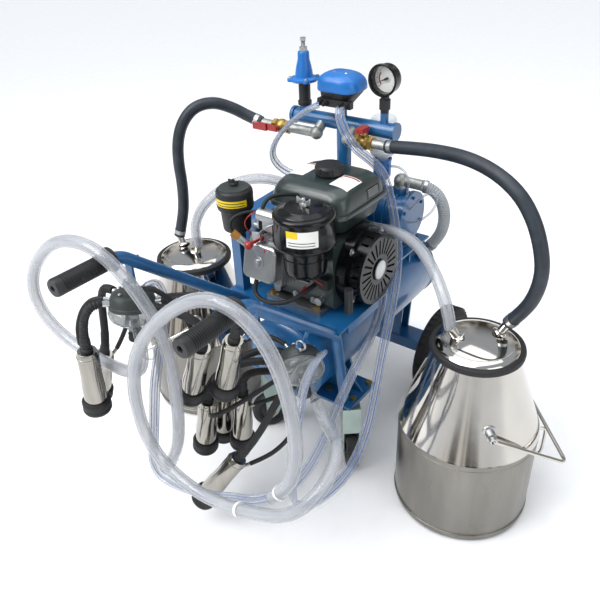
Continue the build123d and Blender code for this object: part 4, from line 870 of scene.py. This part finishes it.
paint_where("pipe_fittings", BRASS,
            (GALV, (-177, 150, 700), (-60, 240, 800)),
            (GALV, (-40, 150, 700), (4, 240, 800)),
            (GALV, (52, 150, 700), (90, 240, 800)),
            (GALV, (-270, 150, 700), (-224, 240, 800)),
            (GALV, (10, 320, 580), (110, 380, 640)))

trim = Piece(WHITE)
top = move(*FUEL, 700)
flank = place_at((89.4, FUEL[1], 668), (0.98, 0, 0.19), (0, 1, 0))
trim.use(GLOSS)
decal(trim, shell_tree, flank @ move(30, 0, 0), (50, 0, 0), (0, 22, 0))
trim.use(GREY)
for k in range(5):
    decal(trim, shell_tree, flank @ move(30, 7 - 3.5 * k, 0), (40, 0, 0), (0, 1.1, 0), 0.6, 6)
for x, y, wide, tall in ((60, -22, 44, 58), (-58, -4, 40, 72)):
    trim.use(WHITE)
    decal(trim, shell_tree, top @ move(x, y, 0), (wide, 0, 0), (0, tall, 0))
    trim.use(RED)
    decal(trim, shell_tree, top @ move(x, y + tall / 2 - 5, 0), (wide - 6, 0, 0), (0, 5, 0), 0.6, 8)
    trim.use(GREY)
    for k in range(6):
        decal(trim, shell_tree, top @ move(x, y + tall / 2 - 14 - 7 * k, 0), (wide - 12, 0, 0),
              (0, 1.0, 0), 0.6, 6)
trim.done("tank_labels", slot="white_plastic")

screws = Piece(ZINC)
for x in (-102, 88):
    for y in (40, 160):
        screws.hexagon((x + (7 if x < 0 else -7), y, 652), (0, 0, 1), 5, 4, 7)
screws.done("tank_screws", slot="zinc", bevel=0.3)

filter_can = Piece(GLOSS)
place = move(*AIR_CLEANER)
filter_can.turn([(0, 560), (34, 560), (38, 561), (42, 565), (44, 575), (45.5, 600), (49, 618), (51, 622),
                 (52, 625),
                 (58, 626), (61, 628), (62, 631), (62, 634), (60.5, 636), (60.5, 684), (62, 686), (62, 690),
                 (60, 694), (57, 696), (52, 697), (50, 699.5), (40, 702), (38, 704), (26, 705), (12, 706.5),
                 (0, 706.5)], place, 96)
filter_can.ring(46.2, 1.2, place @ move(0, 0, 603), 96, 8)
filter_can.use(WHITE).turn([(60.4, 644), (60.9, 644), (60.9, 678), (60.4, 678)], place, 24, (-88, -28))
filter_can.use(YELLOW).turn([(60.8, 664), (61.2, 664), (61.2, 678), (60.8, 678)], place, 10, (-88, -66))
filter_can.use(GLOSS).turn([(60.8, 648), (61.1, 648), (61.1, 649.4), (60.8, 649.4)], place, 20, (-84, -34))
filter_can.turn([(60.8, 654), (61.1, 654), (61.1, 655.4), (60.8, 655.4)], place, 20, (-84, -34))
filter_can.use(ZINC).turn([(0, 704), (9, 704), (9, 707), (8, 712), (4, 713), (4, 721), (3, 722), (0, 722)],
                          place, 32)
for end in (-1, 1):
    filter_can.loft([[place @ Vector((end * (6 + 3 * k), y * (3.2 - 0.4 * k), 713 + z * (3 + 1.2 * k) + k))
                      for y, z in ((-1, -1), (1, -1), (1, 1), (-1, 1))] for k in range(4)])
filter_can.done("air_filter", replaces=("air_cleaner",), slot="engine_paint")

disc = Piece(ZINC)
disc.turn([(0, -0.2), (21, -0.2), (21, 0.8), (20, 1.3), (0, 1.3)], place_at((150.4, *CRANK), (1, 0, 0)), 48)
disc.done("hub_disc", slot="zinc")

bits = Piece(ZINC)
for k in range(4):
    a = math.radians(45 + 90 * k)
    spot = (115, CRANK[0] + 83 * math.cos(a), CRANK[1] + 83 * math.sin(a))
    bits.hexagon(spot, (1, 0, 0), 5.5, 4.5, 8)
for x in (-56, -8, 40):
    bits.hexagon((x, -28, 460), (0, -1, 0), 5.5, 5, 8)
    bits.hexagon((x, -28, 548), (0, -1, 0), 5.5, 5, 8)
bits.hexagon(HEAD @ Vector((0, 0, 184)), HEAD.to_3x3() @ Vector((0, 0, 1)), 8, 7, 13)
bits.use(BRASS).hexagon((-50, -66, 640), (0, 0, -1), 7, 6)
bits.use(ZINC)
for k in range(3):
    bits.hexagon((20 - 20 * k, -66, 668.5), (0, 0, 1), 4.5, 3.5, 6)
bits.brick((-66, -92, 606), (-44, -88, 626))
for k in range(5):
    bits.use(CAST).brick((-70 + 2 * k, -20 - 6 * k, 476 + 12 * k), (34 - 2 * k, 2 - 6 * k, 479 + 12 * k))
bits.use(ZINC).brick((-10, -46, 636), (22, -38, 646))
bits.sweep(smooth([(-50, -92, 622), (-34, -96, 640), (-12, -84, 652), (-2, -66, 652)]), 1.2, 8)
bits.use(RED).sweep(smooth([(-84, -70, 600), (-96, -84, 626), (-84, -80, 652), (-62, -60, 664),
                                                           (-46, -30, 652)]), 1.5, 8)
bits.sweep(smooth([(77, -44, 518), (70, -56, 530), (52, -58, 540), (30, -46, 548)]), 1.5, 8)
bits.use(RED).rod((34, -44, 498), (34, -62, 488), 6)
bits.rod((-30, -96, 600), (-20, -104, 596), 5)
bits.done("engine_bits", slot="zinc", bevel=0.3)


# ---- pump side ----------------------------------------------------------------
jar = Piece(BRIGHT)
place = move(*OIL_JAR)
jar.turn([(0, 600), (12, 600), (17, 605), (21, 611), (22, 614), (22, 652), (23.5, 653), (23.5, 656),
          (19, 656), (19, 614),
          (0, 606)], place, 48)
jar.use(BOTTLE).turn([(0, 625), (14, 625), (14, 656), (18, 661), (28, 667), (32, 673), (33, 680), (33, 746),
                      (31, 754),
                      (27, 759), (20, 762), (0, 762)], place, 48)
jar.ring(33, 0.7, place @ move(0, 0, 700), 48, 8)
jar.ring(33, 0.7, place @ move(0, 0, 726), 48, 8)
jar.done("oil_bottle", replaces=("oil_reservoir",), slot="white_plastic")

pot = Piece(BLACK)
place = move(*CANISTER)
pot.turn([(0, 580), (15, 580), (17, 582), (18, 586), (26, 588), (30, 591), (31, 596), (33.5, 636),
          (35, 639), (39, 641),
          (40, 645), (40, 679), (38.5, 683), (36, 685), (0, 685)], place, 72)
for z in (650, 672):
    pot.ring(40, 0.7, place @ move(0, 0, z), 72, 8)
pot.use(YELLOW).turn([(39.9, 654), (40.5, 654), (40.5, 669), (39.9, 669)], place, 24, (-120, -10))
pot.use(BLACK).turn([(40.4, 657), (40.7, 657), (40.7, 658.6), (40.4, 658.6)], place, 20, (-112, -18))
pot.turn([(40.4, 663), (40.7, 663), (40.7, 664.6), (40.4, 664.6)], place, 20, (-112, -18))
pot.use(DARK_CAST).turn([(0, 684.5), (34, 684.5), (33, 688.5), (10, 690), (0, 690)], place, 64)
pot.use(BLACK).turn([(0, 689), (8, 689), (8, 695), (3.5, 697), (3.5, 704), (0, 704)], place, 32)
for end in (-1, 1):
    pot.loft([[place @ Vector((end * (4 + 3 * k), y * 2.2, 698 + z * (2.6 + 0.7 * k))) for y, z in
               ((-1, -1), (1, -1), (1, 1), (-1, 1))] for k in range(4)])
pot.done("exhaust_pot", replaces=("exhaust_canister",), slot="black_plastic")

valve = Piece(BLACK)
place = move(*REGULATOR)
valve.turn([(0, 797), (15.4, 797), (16, 798), (16, 806), (13.5, 808), (13.5, 848), (0, 848)], place, 40)
valve.use(BRIGHT).turn([(0, 848), (20, 848), (30, 850), (33, 853), (33, 857), (30, 859), (21, 861),
                        (20, 866), (19.5, 872),
                        (17, 884), (13.5, 898), (13, 911), (12, 914.5), (10, 916), (5.1, 916), (5.1, 890),
                        (0, 890)], place, 56)
for k in range(4):
    spot = place @ spin(45 + 90 * k)
    valve.turn([(0, 851), (7.4, 851), (8, 852), (8, 857), (7.4, 858), (0, 858)], spot @ move(31, 0, 0), 24)
    valve.use(ZINC).hexagon(spot @ Vector((31, 0, 857.5)), (0, 0, 1), 4.6, 4).use(BRIGHT)
valve.done("regulator", replaces=("regulator_body",), slot="blue_plastic")
spindle = Piece(ZINC)
profile = [(0, 892), (5, 892), (5, 916.3), (9, 916.3), (9, 924), (5, 924)]
for k in range(9):
    z = 925 + k * 1.4
    profile += [(4.9, z), (4.2, z + 0.7)]
profile += [(4.9, 938), (0, 938)]
spindle.turn(profile, place, 32)
spindle.prism(circle(7, 6), 937.5, 944, place)
spindle.done("regulator_spindle", "screw", ("regulator_screw",), "zinc")

dial = place_at(GAUGE, (0, -1, 0), (1, 0, 0))
gauge = Piece(GLOSS)
gauge.turn([(0, -14), (27, -14), (30, -12.5), (31, -10), (31, 9), (33, 10.5), (34, 12), (34, 15),
            (32.5, 16), (29.5, 16),
            (28.5, 14), (28, 10), (28, -6), (0, -6)], dial, 64)
gauge.use(WHITE).turn([(3, -6), (27.9, -6), (27.9, -4.2), (3, -4.2)], dial, 64)
for k in range(31):
    inner = 20.5 if k % 5 == 0 else 22.5
    wide = 0.45 if k % 5 == 0 else 0.25
    tick = dial @ spin(225 - 9 * k)
    gauge.use(BLACK).brick((inner, -wide, -4.3), (25, wide, -3.9), tick)
gauge.use(RED).turn([(16.5, -4.3), (19.5, -4.3), (19.5, -3.9), (16.5, -3.9)], dial, 16, (140, 225))
gauge.use(BLACK).rod((58, 225, 808), (58, 225, 848), 9)
gauge.rod((58, 225, 815), (58, 225, 837), 12)
gauge.done("gauge_body", replaces=("gauge_case",), slot="black_plastic")
lens = Piece(GLASS)
lens.turn([(0, 9), (28, 9), (28, 10.6), (20, 11.2), (0, 11.8)], dial, 64)
lens.done("gauge_lens", slot="clear_hose")

x, y, z = PULSATOR
base = Piece(BLACK)
levels = [(0, 0.62, -12), (2, 0.68, -12), (14, 0.82, -8), (26, 0.94, -3), (34, 1.0, 0), (36, 1.0, 0)]
base.loft([[Vector((x + shift + px * s, y + py * s, z + h)) for px, py in rounded(88, 78, 22)] for h, s,
           shift in levels])
base.brick((-90, y - 38, z + 2), (-4, y - 24, z + 18))
for nx in (-81, -67, -27, -13):
    base.rod((nx, y - 30, z + 12), (nx, y - 50, z + 8), 5, 4.4)
    base.turn([(4, 0), (7, 0), (7, 4), (4, 4)], place_at((nx, y - 38, z + 10.4), (0, -20, -4)), 24)
base.done("pulsator_base", replaces=("pulsator",), slot="black_plastic", bevel=0.5)
hood = Piece(BRIGHT)
loops = []
for k in range(25):
    t = -1 + k / 12
    edge = max(0.0, 1 - abs(t) ** (5 if t < 0 else 2.8)) ** 0.5
    half = 12 + 32 * edge
    tall = (5 + 31 * edge) * (1 - 0.12 * max(0.0, t))
    loop = []
    for m in range(28):
        a = math.tau * m / 28
        c, d = math.cos(a), math.sin(a)
        py = half * math.copysign(abs(c) ** 0.6, c)
        pz = tall * abs(d) ** 0.5 if d > 0 else -0.01
        loop.append(Vector((x + 51 * t, y + py, z + 36 + pz)))
    loops.append(loop)
hood.loft(loops)
hood.prism(rounded(92, 82, 22), 33.5, 37, move(x - 2, y, z))
for dx in (-16, 14):
    hood.use(ZINC).turn([(0, -3), (4, -3), (4, 0.6), (3, 1.8), (0, 2)], move(x + dx, y - 8, z + 70), 20)
hood.done("pulsator_hood", replaces=("pulsator",), slot="blue_plastic")


clips = Piece(ZINC)
for name, route in (("a", VACUUM_RIGHT), ("b", VACUUM_LEFT)):
    for first, second in ((0, 1), (-1, -2)):
        a, b = Vector(route[first]), Vector(route[second])
        place = place_at(a + (b - a).normalized() * 12, b - a)
        clips.turn([(14, -5), (15, -5), (15, 5), (14, 5)], place, 48)
        clips.brick((14, -4, -4), (20, 4, 4), place)
for first, second in ((0, 1), (-1, -2)):
    a, b = Vector(SUCTION[first]), Vector(SUCTION[second])
    place = place_at(a + (b - a).normalized() * 9, b - a)
    clips.turn([(14.6, -4), (15.8, -4), (15.8, 4), (14.6, 4)], place, 48)
    clips.brick((15, -4, -3), (21, 4, 3), place)
clips.done("hose_clips", slot="zinc")


# ---- studio -------------------------------------------------------------------
floor_mesh = bpy.data.meshes.new("floor")
floor_mesh.from_pydata([(-30, -30, 0), (30, -30, 0), (30, 30, 0), (-30, 30, 0)], [], [(0, 1, 2, 3)])
floor = bpy.data.objects.new("floor", floor_mesh)
floor.location.z = -0.0006
floor_mesh.materials.append(material("floor_pale", "fbfbfb", "f6f6f7", 0.85, bump=0.0))
bpy.context.scene.collection.objects.link(floor)

world = bpy.data.worlds.new("studio")
bpy.context.scene.world = world
world.use_nodes = True
tree = world.node_tree
sky = tree.nodes["Background"]
where = tree.nodes.new("ShaderNodeTexCoord").outputs["Generated"]
squeeze = tree.nodes.new("ShaderNodeMapping")
squeeze.inputs["Scale"].default_value = (3.4, 3.4, 0.35)
bands = tree.nodes.new("ShaderNodeTexNoise")
bands.inputs["Scale"].default_value = 1.6
bands.inputs["Detail"].default_value = 3.0
ramp = tree.nodes.new("ShaderNodeValToRGB")
ramp.color_ramp.elements[0].position = 0.43
ramp.color_ramp.elements[0].color = (0.07, 0.06, 0.05, 1)
ramp.color_ramp.elements[1].position = 0.60
ramp.color_ramp.elements[1].color = (0.86, 0.84, 0.80, 1)
height = tree.nodes.new("ShaderNodeSeparateXYZ")
rise = tree.nodes.new("ShaderNodeMapRange")
rise.interpolation_type = "SMOOTHSTEP"
rise.inputs["From Min"].default_value = 0.25
rise.inputs["From Max"].default_value = 0.62
dome = tree.nodes.new("ShaderNodeMix")
dome.data_type = "RGBA"
dome.inputs["B"].default_value = (0.50, 0.54, 0.60, 1)
tree.links.new(where, squeeze.inputs["Vector"])
tree.links.new(squeeze.outputs["Vector"], bands.inputs["Vector"])
tree.links.new(bands.outputs["Fac"], ramp.inputs["Fac"])
tree.links.new(where, height.inputs["Vector"])
tree.links.new(height.outputs["Z"], rise.inputs["Value"])
tree.links.new(rise.outputs["Result"], dome.inputs["Factor"])
tree.links.new(ramp.outputs["Color"], dome.inputs["A"])
seen = tree.nodes.new("ShaderNodeLightPath")
plain = tree.nodes.new("ShaderNodeMix")
plain.data_type = "RGBA"
plain.inputs["B"].default_value = (0.95, 0.955, 0.96, 1)
tree.links.new(seen.outputs["Is Camera Ray"], plain.inputs["Factor"])
tree.links.new(dome.outputs["Result"], plain.inputs["A"])
tree.links.new(plain.outputs["Result"], sky.inputs["Color"])
sky.inputs["Strength"].default_value = 0.9


def lamp(name, place, target, size, watts):
    data = bpy.data.lights.new(name, "AREA")
    data.shape = "RECTANGLE"
    data.size, data.size_y = size
    data.energy = watts
    thing = bpy.data.objects.new(name, data)
    thing.location = place
    thing.rotation_euler = (Vector(target) - Vector(place)).to_track_quat("-Z", "Y").to_euler()
    bpy.context.scene.collection.objects.link(thing)


sun = bpy.data.lights.new("sun", "SUN")
sun.energy = 1.9
sun.angle = math.radians(50)
overhead = bpy.data.objects.new("sun", sun)
overhead.rotation_euler = (math.radians(24), math.radians(-16), 0)
bpy.context.scene.collection.objects.link(overhead)
lamp("key", (-1.2, -2.2, 2.6), (0, 0, 0.4), (1.8, 1.8), 55)
lamp("fill", (2.8, -0.6, 1.8), (0, 0, 0.4), (1.6, 2.2), 18)
lamp("top", (0.2, 0.6, 3.2), (0, 0, 0.4), (2.4, 2.4), 28)

AZ, EL, ROLL = math.radians(37.45), math.radians(31.93), math.radians(-2.3)
back = Vector((math.sin(AZ) * math.cos(EL), -math.cos(AZ) * math.cos(EL), math.sin(EL)))
right = Vector((math.cos(AZ), math.sin(AZ), 0))
up = back.cross(right)
across = right * math.cos(ROLL) + up * math.sin(ROLL)
upright = up * math.cos(ROLL) - right * math.sin(ROLL)
data = bpy.data.cameras.new("camera")
data.sensor_width = 36
data.lens = 36 * 639.5 / 600
data.shift_x = -0.0075
data.shift_y = -0.0117
data.clip_start = 0.05
camera = bpy.data.objects.new("camera", data)
turn = Matrix((across, upright, back)).transposed().to_4x4()
camera.matrix_world = move(0.739, -0.972, 1.211) @ turn
bpy.context.scene.collection.objects.link(camera)
bpy.context.scene.camera = camera
bpy.context.scene.view_settings.view_transform = "Standard"

bpy.context.view_layer.update()
